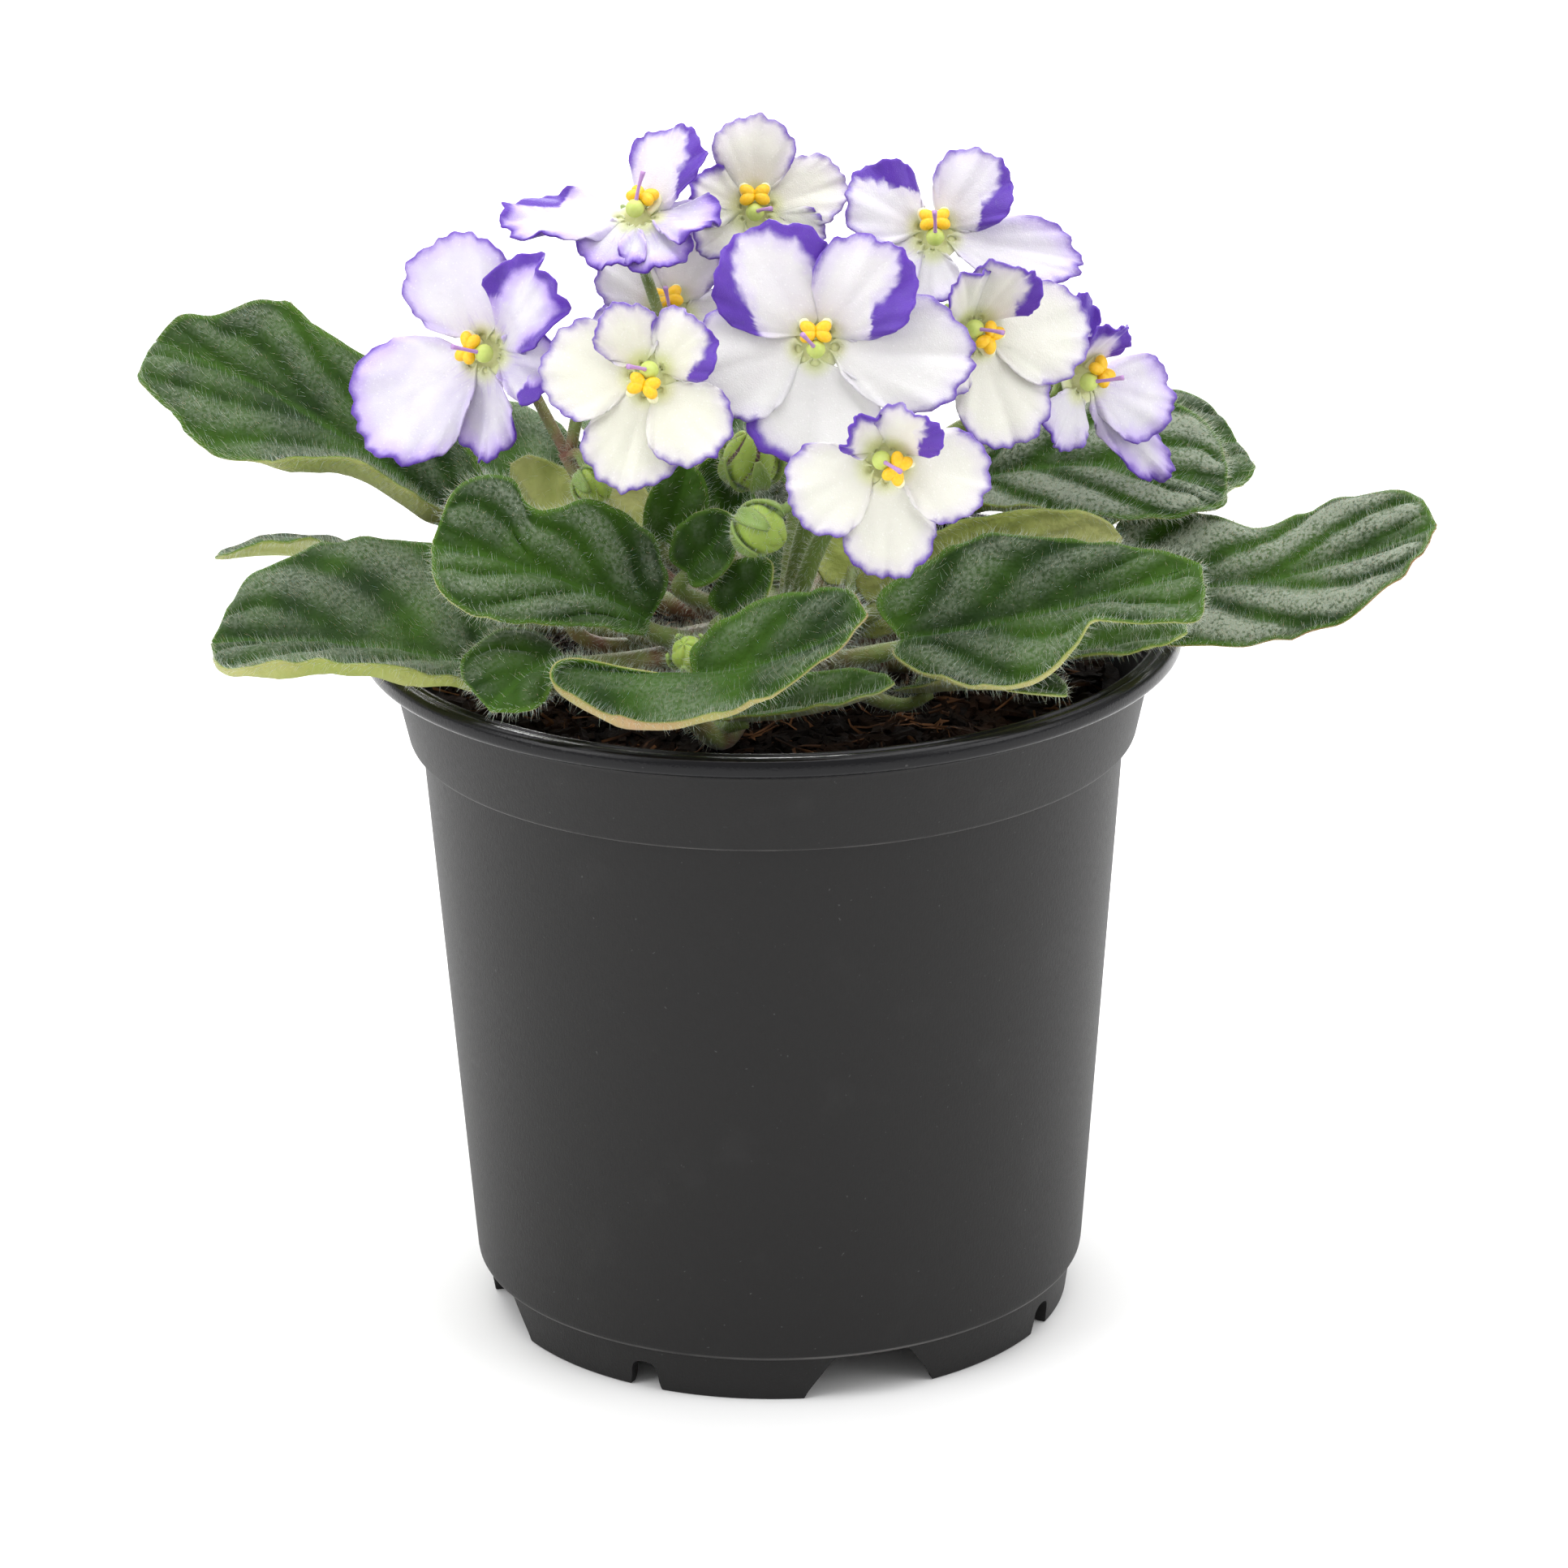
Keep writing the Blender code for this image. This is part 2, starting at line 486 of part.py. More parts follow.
def petal_grid(bloom, petal, rows, columns):
    """One petal in rows from the throat out to its frilled edge, with its columns across it."""
    angle, length, width, lift, curl, cup, twist, ruffle = petal
    facing = bloom_frame(bloom["face"])[2]
    outward, across = in_plane(bloom, angle)
    s = np.linspace(0.0, 1.0, rows + 1)[:, None] * np.ones((1, columns + 1))
    t = np.linspace(-1.0, 1.0, columns + 1)[None] * np.ones((rows + 1, 1))
    reach = 0.5 + 0.5 * np.cos(t * math.radians(140))
    along = length * reach * s
    edge = np.sign(t) * width / 2 * np.sin(math.pi * reach ** 1.5) ** 0.6
    sideways = edge * s
    phase = math.radians(angle * 3.1 + bloom["face"][0] * 1.7)
    frill = ruffle * s ** 3 * (np.sin(t * 9.5 + phase) + 0.55 * np.sin(t * 21.0 + 2.3 * phase))
    height = frill + math.tan(math.radians(cup)) * (sideways / (width / 2)) ** 2 * width * 0.25
    lift, curl, twist = math.radians(lift), math.radians(curl), math.radians(twist)
    bend = (curl if abs(curl) > 1e-4 else 1e-4) / length
    heading = lift + bend * along
    turn = twist * np.clip(along / length, 0, 1)
    side = sideways * np.cos(turn) - height * np.sin(turn)
    off = sideways * np.sin(turn) + height * np.cos(turn)
    run = PETAL_START + (np.sin(heading) - math.sin(lift)) / bend - off * np.sin(heading)
    climb = (math.cos(lift) - np.cos(heading)) / bend + off * np.cos(heading)
    climb = climb + petal_level(angle) * (1 - np.exp(-(along / 3.6) ** 2))
    return (np.array(bloom["centre"], float) + run[..., None] * outward + side[..., None] * across
            + climb[..., None] * facing)


def blade(name, grid, thickness, collection):
    """A thin curved solid on a grid of points, split into triangles alike on both faces."""
    rows, columns = grid.shape[0] - 1, grid.shape[1] - 1
    work = bmesh.new()
    verts = [[work.verts.new(point * MM) for point in row] for row in grid]
    for i in range(rows):
        for j in range(columns):
            a, b, c, d = verts[i][j], verts[i][j + 1], verts[i + 1][j + 1], verts[i + 1][j]
            if (j < columns / 2) == (i < rows / 2):
                work.faces.new((a, b, c))
                work.faces.new((a, c, d))
            else:
                work.faces.new((a, b, d))
                work.faces.new((b, c, d))
    bmesh.ops.remove_doubles(work, verts=work.verts, dist=0.02 * MM)
    bmesh.ops.recalc_face_normals(work, faces=work.faces)
    item = make_object(name, mesh_of(name, work), collection)
    wall = item.modifiers.new("thickness", "SOLIDIFY")
    wall.thickness = thickness * MM
    wall.offset = 0.0
    item.data = evaluated_mesh(item)
    item.modifiers.clear()
    return item


def build_pot(parts, cutters, plastic):
    """Thin moulded pot: flared lip, plain collar, tapered body and a notched foot skirt."""
    collar_foot = POT_HEIGHT - LIP_DEPTH - COLLAR_HEIGHT
    profile = [(0, FLOOR_TOP), (BODY_FOOT_RADIUS - WALL - 0.8, FLOOR_TOP),
               (BODY_FOOT_RADIUS - WALL, FLOOR_TOP + 1.5),
               (BODY_TOP_RADIUS - WALL, collar_foot - 0.5), (COLLAR_FOOT_RADIUS - WALL, collar_foot + 1.2),
               (COLLAR_TOP_RADIUS - WALL - 0.4, POT_HEIGHT - 3.6), (LIP_RADIUS - 4.6, POT_HEIGHT - 1.2),
               (LIP_RADIUS - 2.6, POT_HEIGHT), (LIP_RADIUS - 1.0, POT_HEIGHT - 0.4),
               (LIP_RADIUS, POT_HEIGHT - 1.6), (LIP_RADIUS - 0.7, POT_HEIGHT - 2.9),
               (COLLAR_TOP_RADIUS, POT_HEIGHT - LIP_DEPTH), (COLLAR_FOOT_RADIUS, collar_foot),
               (BODY_TOP_RADIUS + 0.2, collar_foot - 0.3), (BODY_TOP_RADIUS, collar_foot - 0.9),
               (BODY_FOOT_RADIUS, 12.0), (BODY_FOOT_RADIUS - 0.1, 9.3),
               (BODY_FOOT_RADIUS - 0.5, FLOOR_UNDERSIDE),
               (SKIRT_TOP_RADIUS, FLOOR_UNDERSIDE - 0.2), (SKIRT_FOOT_RADIUS, 0.0),
               (SKIRT_FOOT_RADIUS - WALL, 0.0), (SKIRT_TOP_RADIUS - WALL - 0.5, FLOOR_UNDERSIDE),
               (0, FLOOR_UNDERSIDE)]
    pot = turned("pot", profile, parts)
    pot.data.materials.append(plastic)
    for index in range(NOTCH_PAIRS):
        turn = math.radians(NOTCH_AZIMUTH + index * 360.0 / NOTCH_PAIRS)
        half = math.radians(180.0 / NOTCH_PAIRS)
        cut(pot, foot_notch(cutters, "wide_notch_%d" % index, turn, **WIDE_NOTCH))
        cut(pot, foot_notch(cutters, "small_notch_%d" % index, turn + half, **SMALL_NOTCH))
    for index in range(DRAIN_HOLES):
        turn = math.radians(NOTCH_AZIMUTH + (index + 0.5) * 360.0 / DRAIN_HOLES)
        x, y = DRAIN_HOLE_RING * math.sin(turn), -DRAIN_HOLE_RING * math.cos(turn)
        drill = frustum("drain_hole_%d" % index, (x, y, FLOOR_UNDERSIDE - 2), (x, y, FLOOR_TOP + 2),
                        DRAIN_HOLE_RADIUS, DRAIN_HOLE_RADIUS, cutters, 12)
        cut(pot, drill)
    pot.data = weld(evaluated_mesh(pot), 1e-6)
    pot.modifiers.clear()
    smooth(pot, 28)
    return pot


def foot_notch(cutters, name, turn, foot_width, head_width, height):
    """A wedge that opens the foot skirt, wider at the table than at its top."""
    reach, depth, below = SKIRT_FOOT_RADIUS - 0.5, 9.0, 2.0
    work = bmesh.new()
    bmesh.ops.create_cube(work, size=1.0)
    for vert in work.verts:
        width = head_width if vert.co.z > 0 else foot_width
        level = height if vert.co.z > 0 else -below
        vert.co = Vector((vert.co.x * width, -reach + vert.co.y * depth, level)) * MM
    bmesh.ops.rotate(work, verts=work.verts, cent=(0, 0, 0), matrix=Matrix.Rotation(turn, 3, "Z"))
    return make_object(name, mesh_of(name, work), cutters)


def soil_height(x, y):
    """Lumpy surface of bark and peat."""
    lumps = (math.sin(0.31 * x + 1.3) * math.cos(0.27 * y) + 0.6 * math.sin(0.55 * x - 0.42 * y)
             + 0.5 * math.cos(0.71 * y + 0.33 * x))
    return SOIL_LEVEL + SOIL_LUMP * lumps * 0.6


def build_soil(parts, cutters, mix):
    """Potting mix that fills the pot to below its lip, with a plain hole that the crown stands in."""
    collar_foot = POT_HEIGHT - LIP_DEPTH - COLLAR_HEIGHT
    wall_at_top = COLLAR_FOOT_RADIUS - WALL - CLEARANCE
    profile = [(radius, SOIL_LEVEL) for radius in (0, 16, 32, 49)]
    profile += [(wall_at_top, SOIL_LEVEL - 1.5), (wall_at_top - 0.1, collar_foot + 1.2),
                (BODY_TOP_RADIUS - WALL - CLEARANCE, collar_foot - 0.6),
                (BODY_FOOT_RADIUS - WALL - CLEARANCE, FLOOR_TOP + 1.6),
                (BODY_FOOT_RADIUS - WALL - 1.2, FLOOR_TOP + CLEARANCE), (0, FLOOR_TOP + CLEARANCE)]
    soil = turned("potting_mix", profile, parts)
    soil.data = evaluated_mesh(soil)
    soil.modifiers.clear()
    for vert in soil.data.vertices:
        x, y, z = vert.co / MM
        if z > SOIL_LEVEL - 0.1 and math.hypot(x, y) < 50:
            vert.co.z = soil_height(x, y) * MM
    hole = frustum("crown_hole", (0, 0, CROWN_FOOT - CLEARANCE), (0, 0, SOIL_LEVEL + 10),
                   CROWN_RADIUS + CLEARANCE, CROWN_RADIUS + CLEARANCE, cutters, 12)
    cut(soil, hole)
    soil.data = weld(evaluated_mesh(soil), 1e-6)
    soil.modifiers.clear()
    soil.data.materials.clear()
    soil.data.materials.append(mix)
    return soil


def petiole_radius(leaf):
    return PETIOLE_RADIUS * (0.75 if leaf.get("width", 20) < 8 else 1.0)


def petiole_route(leaf):
    """From inside the crown, past the leaf's via point, to just under the blade's base."""
    base, tip, via = (np.array(leaf[key], float) for key in ("base", "tip", "via"))
    ahead = unit(tip - base)
    up = np.array(leaf["up"], float)
    up = unit(up - ahead * np.dot(up, ahead))
    along = unit(ahead + 4 * leaf["arch"] * up)
    under = unit(up - along * np.dot(up, along))
    end = base + PETIOLE_LAP * along - (BLADE / 2 + CLEARANCE + petiole_radius(leaf) * PETIOLE_TAPER) * under
    start = np.array((0, 0, min(max(via[2] - 3, CROWN_SHOULDER + 0.5), CROWN_TOP - 2)))
    start[:2] = unit(via[:2]) * 4.5
    approach = end - 3.2 * along - 0.8 * under
    return [start, via, approach, end]


def calyx_place(bloom):
    """Where the flower's own stalk meets it: behind the throat, along its axis."""
    facing = bloom_frame(bloom["face"])[2]
    centre = np.array(bloom["centre"], float)
    front = centre - (THROAT_DEPTH + CLEARANCE) * facing
    return front, front - CALYX_LENGTH * facing, facing


def build_stalks(parts, tissue):
    """Crown, leaf stalks, flower stalks, calyxes and buds: one grown piece."""
    upright = ((1, 0, 0), (0, 1, 0), (0, 0, 1))
    pieces = new_collection("stalk_pieces")
    frustum("crown", (0, 0, CROWN_FOOT), (0, 0, CROWN_SHOULDER), CROWN_RADIUS, CROWN_RADIUS, pieces, 12)
    ball("crown_top", (0, 0, CROWN_SHOULDER),
         (CROWN_RADIUS - 0.1, CROWN_RADIUS - 0.1, CROWN_TOP - CROWN_SHOULDER), upright, pieces, 12, 6)
    for name, leaf in LEAVES.items():
        thick = petiole_radius(leaf)
        sizes = [1.15 * thick, thick, thick, PETIOLE_TAPER * thick]
        tube(name + "_stalk", petiole_route(leaf), sizes, pieces, 4 if is_plain(leaf) else 5)
    for index, stalk in enumerate(FLOWER_STALKS):
        tube("peduncle_%d" % index, stalk["route"], [PEDUNCLE_RADIUS * 1.2, PEDUNCLE_RADIUS], pieces, 6)
        fork = np.array(stalk["route"][-1], float)
        before = np.array(stalk["route"][-2], float)
        rise = unit(fork - before)
        for name in stalk["blooms"]:
            front, back, facing = calyx_place(BLOOMS[name])
            frustum(name + "_calyx", back, front, *CALYX_RADII, pieces, 6)
            reach = np.linalg.norm(back - fork)
            bend = fork + rise * 0.35 * reach
            turn = back - facing * 0.3 * reach
            route = [fork - rise, bend * 0.6 + turn * 0.4, turn * 0.75 + bend * 0.25, back + facing * 0.8]
            tube(name + "_pedicel", route, [PEDICEL_RADIUS * 1.1, PEDICEL_RADIUS], pieces, 4)
        for number, (centre, radius) in enumerate(stalk["buds"]):
            centre = np.array(centre, float)
            middle = (fork + centre) / 2 + np.array((0, 0, 2.0))
            route = [fork - rise, middle, centre]
            tube("bud_stalk_%d_%d" % (index, number), route, [PEDICEL_RADIUS], pieces, 4)
            ball("bud_%d_%d" % (index, number), centre, (radius, radius, radius * 1.1), upright, pieces, 7, 5)
    route = LOW_BUD["route"] + [LOW_BUD["centre"]]
    tube("low_bud_stalk", route, [PEDICEL_RADIUS * 1.2, PEDICEL_RADIUS], pieces, 5)
    ball("low_bud", LOW_BUD["centre"], (LOW_BUD["radius"],) * 3, upright, pieces, 7, 5)
    return join_collection("crown_and_stalks", pieces, parts, tissue)


def build_bloom(name, bloom, parts, petal_tissue, pollen, green):
    """Five fused petals round a short tube, with the anthers and the pistil standing in its throat."""
    facing = bloom_frame(bloom["face"])[2]
    centre = np.array(bloom["centre"], float)
    pieces = new_collection(name + "_pieces")
    frustum(name + "_throat", centre - THROAT_DEPTH * facing, centre + THROAT_LIP * facing,
            THROAT_RADIUS * 0.6, THROAT_RADIUS, pieces, 8)
    for number, petal in enumerate(bloom["petals"]):
        blade("%s_petal_%d" % (name, number), petal_grid(bloom, petal, *PETAL_GRID), PETAL, pieces)
    corolla = join_collection(name + "_petals", pieces, parts, petal_tissue)

    floor = centre + (THROAT_LIP + CLEARANCE) * facing
    toward, beside = in_plane(bloom, bloom["stamens"])
    pieces = new_collection(name + "_anther_pieces")
    long, wide, deep = ANTHER_SIZE
    root = floor + FILAMENT_REACH * toward
    heart = root + FILAMENT_RISE * facing
    frustum(name + "_filament", root, heart, FILAMENT_RADIUS, FILAMENT_RADIUS, pieces, 5)
    for sign in (-1, 1):
        place = heart + sign * ANTHER_SPREAD * beside + 0.2 * facing
        ball("%s_anther_%d" % (name, sign), place, (long, wide, deep), (toward, beside, facing), pieces, 5, 4)
    join_collection(name + "_anthers", pieces, parts, pollen)

    pieces = new_collection(name + "_pistil_pieces")
    ovary = floor - 0.75 * toward + OVARY_RADIUS * 0.92 * facing
    ball(name + "_ovary", ovary, (OVARY_RADIUS, OVARY_RADIUS, OVARY_RADIUS * 0.92),
         (toward, beside, facing), pieces, 7, 5)
    lean, _ = in_plane(bloom, bloom["style"])
    style_tip = ovary + STYLE_LENGTH * unit(0.45 * lean + 0.9 * facing)
    route = [ovary, (ovary + style_tip) / 2 + 0.5 * facing, style_tip]
    tube(name + "_style", route, [STYLE_RADIUS], pieces, 3, 0)
    join_collection(name + "_pistil", pieces, parts, green)
    return corolla


def main():
    clear_scene()
    parts = new_collection("potted_african_violet")
    cutters = new_collection("cutters")
    plastic = make_material("black_plastic", (0.035, 0.033, 0.033), 0.45)
    mix = make_material("potting_mix", (0.045, 0.025, 0.015), 0.95)
    leaf_tissue = make_material("leaf_tissue", (0.035, 0.12, 0.02), 0.6)
    stalk_tissue = make_material("stalk_tissue", (0.22, 0.30, 0.08), 0.6)
    petal_tissue = make_material("petal_tissue", (0.85, 0.80, 0.92), 0.5)
    pollen = make_material("pollen_yellow", (0.95, 0.60, 0.02), 0.6)
    green = make_material("pistil_green", (0.55, 0.68, 0.18), 0.5)
    build_pot(parts, cutters, plastic)
    build_soil(parts, cutters, mix)
    build_stalks(parts, stalk_tissue)
    for name, leaf in LEAVES.items():
        steps = PLAIN_LEAF_GRID if is_plain(leaf) else SHAPED_LEAF_GRID
        item = blade(name, leaf_grid(leaf, *steps), BLADE, parts)
        item.data.materials.clear()
        item.data.materials.append(leaf_tissue)
        item.data.shade_smooth()
    for name, bloom in BLOOMS.items():
        build_bloom(name, bloom, parts, petal_tissue, pollen, green)


main()
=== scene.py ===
import math

import bmesh
import bpy
import numpy as np
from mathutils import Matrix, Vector


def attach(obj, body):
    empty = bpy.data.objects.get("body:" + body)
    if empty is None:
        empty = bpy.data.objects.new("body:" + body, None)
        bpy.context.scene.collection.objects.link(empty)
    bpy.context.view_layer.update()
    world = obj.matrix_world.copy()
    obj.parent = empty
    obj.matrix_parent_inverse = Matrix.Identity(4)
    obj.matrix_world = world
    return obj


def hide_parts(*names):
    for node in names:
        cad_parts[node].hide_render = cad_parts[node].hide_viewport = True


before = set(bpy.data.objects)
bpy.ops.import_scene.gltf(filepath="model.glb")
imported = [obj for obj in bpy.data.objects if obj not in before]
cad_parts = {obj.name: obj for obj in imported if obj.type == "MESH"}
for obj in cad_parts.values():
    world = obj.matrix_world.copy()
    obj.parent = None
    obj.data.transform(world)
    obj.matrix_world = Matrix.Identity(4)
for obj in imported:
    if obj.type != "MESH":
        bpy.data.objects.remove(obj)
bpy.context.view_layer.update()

MM = 0.001
scene = bpy.context.scene

# The photographer's table.
# A white sweep under soft studio light. The camera looks down on the plant from about twenty
# degrees through a long lens.
LENS = 155.03
CAMERA_PLACE = (0.0, -0.932, 0.42245)
CAMERA_TURN = (69.7900, 0.6937, -0.3482)
camera = bpy.data.objects.new("camera", bpy.data.cameras.new("camera"))
camera.data.sensor_width = 36.0
camera.data.lens = LENS
camera.location = CAMERA_PLACE
camera.rotation_euler = [math.radians(angle) for angle in CAMERA_TURN]
scene.collection.objects.link(camera)
scene.camera = camera
scene.view_settings.view_transform = "Standard"


def add_node(owner, kind, inputs=None, **settings):
    """A node in a material or a tree. Inputs that are sockets are linked, and others are set."""
    tree = getattr(owner, "node_tree", owner)
    node = tree.nodes.new(kind)
    for key, value in settings.items():
        setattr(node, key, value)
    for key, value in (inputs or {}).items():
        if isinstance(value, bpy.types.NodeSocket):
            tree.links.new(value, node.inputs[key])
        else:
            node.inputs[key].default_value = value
    return node


def arithmetic(owner, operation, *values):
    """One step of arithmetic on numbers or sockets."""
    return add_node(owner, "ShaderNodeMath", dict(enumerate(values)), operation=operation).outputs[0]


def vector_step(owner, operation, *values):
    """One step of arithmetic on vectors. SCALE takes its factor last."""
    inputs = {0: values[0], ("Scale" if operation == "SCALE" else 1): values[1]}
    return add_node(owner, "ShaderNodeVectorMath", inputs, operation=operation).outputs[0]


def new_material(name, **sockets):
    material = bpy.data.materials.new(name)
    material.use_nodes = True
    for key, value in sockets.items():
        material.node_tree.nodes["Principled BSDF"].inputs[key.replace("_", " ")].default_value = value
    return material


def finish_with(material, **links):
    """Links sockets to the material's own shader."""
    shader = material.node_tree.nodes["Principled BSDF"]
    for key, socket in links.items():
        material.node_tree.links.new(socket, shader.inputs[key.replace("_", " ")])


def mixed(material, factor, first, second, blend="MIX"):
    """One colour over another by a factor."""
    node = add_node(material, "ShaderNodeMix", {0: factor, 6: first, 7: second}, data_type="RGBA", blend_type=blend)
    return node.outputs[2]


def spread(material, value, low, high, to_low=0.0, to_high=1.0):
    """A value's range from low to high, spread smoothly over another range."""
    node = add_node(material, "ShaderNodeMapRange", {"Value": value, "From Min": low, "From Max": high,
                                                     "To Min": to_low, "To Max": to_high},
                    interpolation_type="SMOOTHSTEP")
    return node.outputs["Result"]


def noise(material, scale, detail=2.0, place=None, roughness=0.5):
    """Mottling on the piece's own coordinates, from 0 to 1."""
    place = place or add_node(material, "ShaderNodeTexCoord").outputs["Object"]
    node = add_node(material, "ShaderNodeTexNoise",
                    {"Vector": place, "Scale": scale, "Detail": detail, "Roughness": roughness})
    return node.outputs["Fac"]


def stretched(material, place, scale):
    return add_node(material, "ShaderNodeMapping", {"Vector": place, "Scale": scale}).outputs["Vector"]


def relief(material, height, distance, strength=1.0, under=None):
    """A bump of the stated height in metres."""
    inputs = {"Height": height, "Distance": distance, "Strength": strength}
    if under is not None:
        inputs["Normal"] = under
    return add_node(material, "ShaderNodeBump", inputs).outputs["Normal"]


def field(material, name):
    """One of the values that a piece's mesh carries at its points."""
    return add_node(material, "ShaderNodeAttribute", attribute_name=name).outputs["Fac"]


sweep_mesh = bpy.data.meshes.new("sweep")
sweep_mesh.from_pydata([(-4, -4, 0), (4, -4, 0), (4, 4, 0), (-4, 4, 0)], [], [(0, 1, 2, 3)])
sweep = bpy.data.objects.new("sweep", sweep_mesh)
scene.collection.objects.link(sweep)
white_card = new_material("white_card", Base_Color=(0.94, 0.94, 0.94, 1), Roughness=0.9, Specular_IOR_Level=0.1)
sweep_mesh.materials.append(white_card)

scene.world = bpy.data.worlds.new("studio")
scene.world.use_nodes = True
scene.world.node_tree.nodes["Background"].inputs["Color"].default_value = (1, 1, 1, 1)
scene.world.node_tree.nodes["Background"].inputs["Strength"].default_value = 0.66
softboxes = (("overhead", (0.0, 0.05, 1.4), (1.7, 1.7), 24.0),
             ("left_softbox", (-1.1, -0.6, 0.7), (0.8, 0.8), 7.0),
             ("right_softbox", (1.1, -0.5, 0.6), (0.8, 0.8), 5.0),
             ("back_strip", (0.0, 1.15, 0.56), (1.5, 0.12), 9.0))
for name, place, size, power in softboxes:
    lamp = bpy.data.lights.new(name, "AREA")
    lamp.shape = "RECTANGLE"
    lamp.size, lamp.size_y = size
    lamp.energy = power
    softbox = bpy.data.objects.new(name, lamp)
    softbox.location = place
    softbox.rotation_euler = (Vector((0, 0, 0.1)) - Vector(place)).to_track_quat("-Z", "Y").to_euler()
    scene.collection.objects.link(softbox)

# The nursery pot.
# One thin injection-moulded shell of black polypropylene: a glossy rolled lip, a plain collar,
# a tapered body with a fine drawn grain, and a foot skirt that is notched so water can leave.
POT_HEIGHT = 104.9
LIP_RADIUS = 60.0
LIP_DEPTH = 4.1
COLLAR_TOP_RADIUS = 55.8
COLLAR_FOOT_RADIUS = 53.2
COLLAR_FOOT = POT_HEIGHT - LIP_DEPTH - 11.8
BODY_TOP_RADIUS = 51.3
BODY_FOOT_RADIUS = 45.6
WALL = 1.6
FLOOR_UNDERSIDE = 7.2
FLOOR_TOP = 9.2
SKIRT_TOP_RADIUS = 44.2
SKIRT_FOOT_RADIUS = 43.0
NOTCH_AZIMUTH = 17.6


def rounded(profile, steps=4):
    """A profile of (radius, height, rounding) with each corner turned into a small arc."""
    out = [np.array(profile[0][:2], float)]
    for before, corner, after in zip(profile, profile[1:], profile[2:]):
        a, b, c = (np.array(point[:2], float) for point in (before, corner, after))
        back, ahead = np.linalg.norm(a - b), np.linalg.norm(c - b)
        start = b + (a - b) / back * min(corner[2], 0.45 * back)
        end = b + (c - b) / ahead * min(corner[2], 0.45 * ahead)
        for t in np.linspace(0, 1, steps):
            out.append((1 - t) ** 2 * start + 2 * t * (1 - t) * b + t ** 2 * end)
    out.append(np.array(profile[-1][:2], float))
    return out


def turned_shell(profile, steps):
    """Points and faces of a profile in millimetres, from axis to axis, turned round Z."""
    middle = profile[1:-1]
    turn = np.linspace(0, 2 * math.pi, steps, endpoint=False)
    rings = [np.stack([r * np.sin(turn), -r * np.cos(turn), np.full(steps, z)], axis=1) for r, z in middle]
    points = np.concatenate([np.concatenate(rings), [(0, 0, profile[0][1]), (0, 0, profile[-1][1])]])
    first, last = len(points) - 2, len(points) - 1
    faces = []
    for k in range(steps):
        n = (k + 1) % steps
        faces.append((first, k, n))
        for i in range(len(middle) - 1):
            faces.append((i * steps + k, (i + 1) * steps + k, (i + 1) * steps + n, i * steps + n))
        base = (len(middle) - 1) * steps
        faces.append((last, base + n, base + k))
    return points, faces


def mesh_piece(name, points, faces, fields=None, materials=()):
    """An object from points in millimetres, with smooth faces and values at its points."""
    mesh = bpy.data.meshes.new(name)
    mesh.from_pydata((np.asarray(points) * MM).tolist(), [], [tuple(int(i) for i in face) for face in faces])
    for key, values in (fields or {}).items():
        layer = mesh.attributes.new(key, "FLOAT", "POINT")
        layer.data.foreach_set("value", np.asarray(values, np.float32).ravel())
    for material in materials:
        mesh.materials.append(material)
    mesh.shade_smooth()
    piece = bpy.data.objects.new(name, mesh)
    scene.collection.objects.link(piece)
    return piece


def applied(piece):
    """Leaves the piece with its modifiers' result as a plain mesh."""
    bpy.context.view_layer.update()
    graph = bpy.context.evaluated_depsgraph_get()
    mesh = bpy.data.meshes.new_from_object(piece.evaluated_get(graph), depsgraph=graph)
    piece.modifiers.clear()
    piece.data = mesh
    return piece


pot_profile = rounded([
    (0, FLOOR_TOP, 0), (BODY_FOOT_RADIUS - WALL, FLOOR_TOP, 2.0), (BODY_TOP_RADIUS - WALL, COLLAR_FOOT - 0.5, 0.8),
    (COLLAR_FOOT_RADIUS - WALL, COLLAR_FOOT + 1.2, 0.8), (COLLAR_TOP_RADIUS - WALL - 0.4, POT_HEIGHT - 3.6, 1.5),
    (LIP_RADIUS - 4.3, POT_HEIGHT - 0.9, 1.0), (LIP_RADIUS - 3.3, POT_HEIGHT - 0.05, 0.5),
    (LIP_RADIUS - 2.5, POT_HEIGHT - 0.5, 0.35), (LIP_RADIUS - 1.6, POT_HEIGHT, 0.5),
    (LIP_RADIUS - 0.25, POT_HEIGHT - 0.25, 0.8), (LIP_RADIUS, POT_HEIGHT - 2.4, 0.8),
    (LIP_RADIUS - 0.9, POT_HEIGHT - 3.0, 0.3), (COLLAR_TOP_RADIUS, POT_HEIGHT - LIP_DEPTH, 0.8),
    (COLLAR_FOOT_RADIUS, COLLAR_FOOT, 0.5), (BODY_TOP_RADIUS + 0.1, COLLAR_FOOT - 0.5, 0.4),
    (BODY_FOOT_RADIUS, 11.0, 3.0), (BODY_FOOT_RADIUS - 0.3, FLOOR_UNDERSIDE, 1.1),
    (SKIRT_TOP_RADIUS - 0.2, FLOOR_UNDERSIDE - 0.3, 0.3), (SKIRT_FOOT_RADIUS, 0.0, 0.35),
    (SKIRT_FOOT_RADIUS - WALL, 0.0, 0.3), (SKIRT_TOP_RADIUS - WALL - 0.5, FLOOR_UNDERSIDE, 0.6),
    (0, FLOOR_UNDERSIDE, 0)])
pot_points, pot_faces = turned_shell(pot_profile, 176)
nursery_pot = mesh_piece("nursery_pot", pot_points, pot_faces)


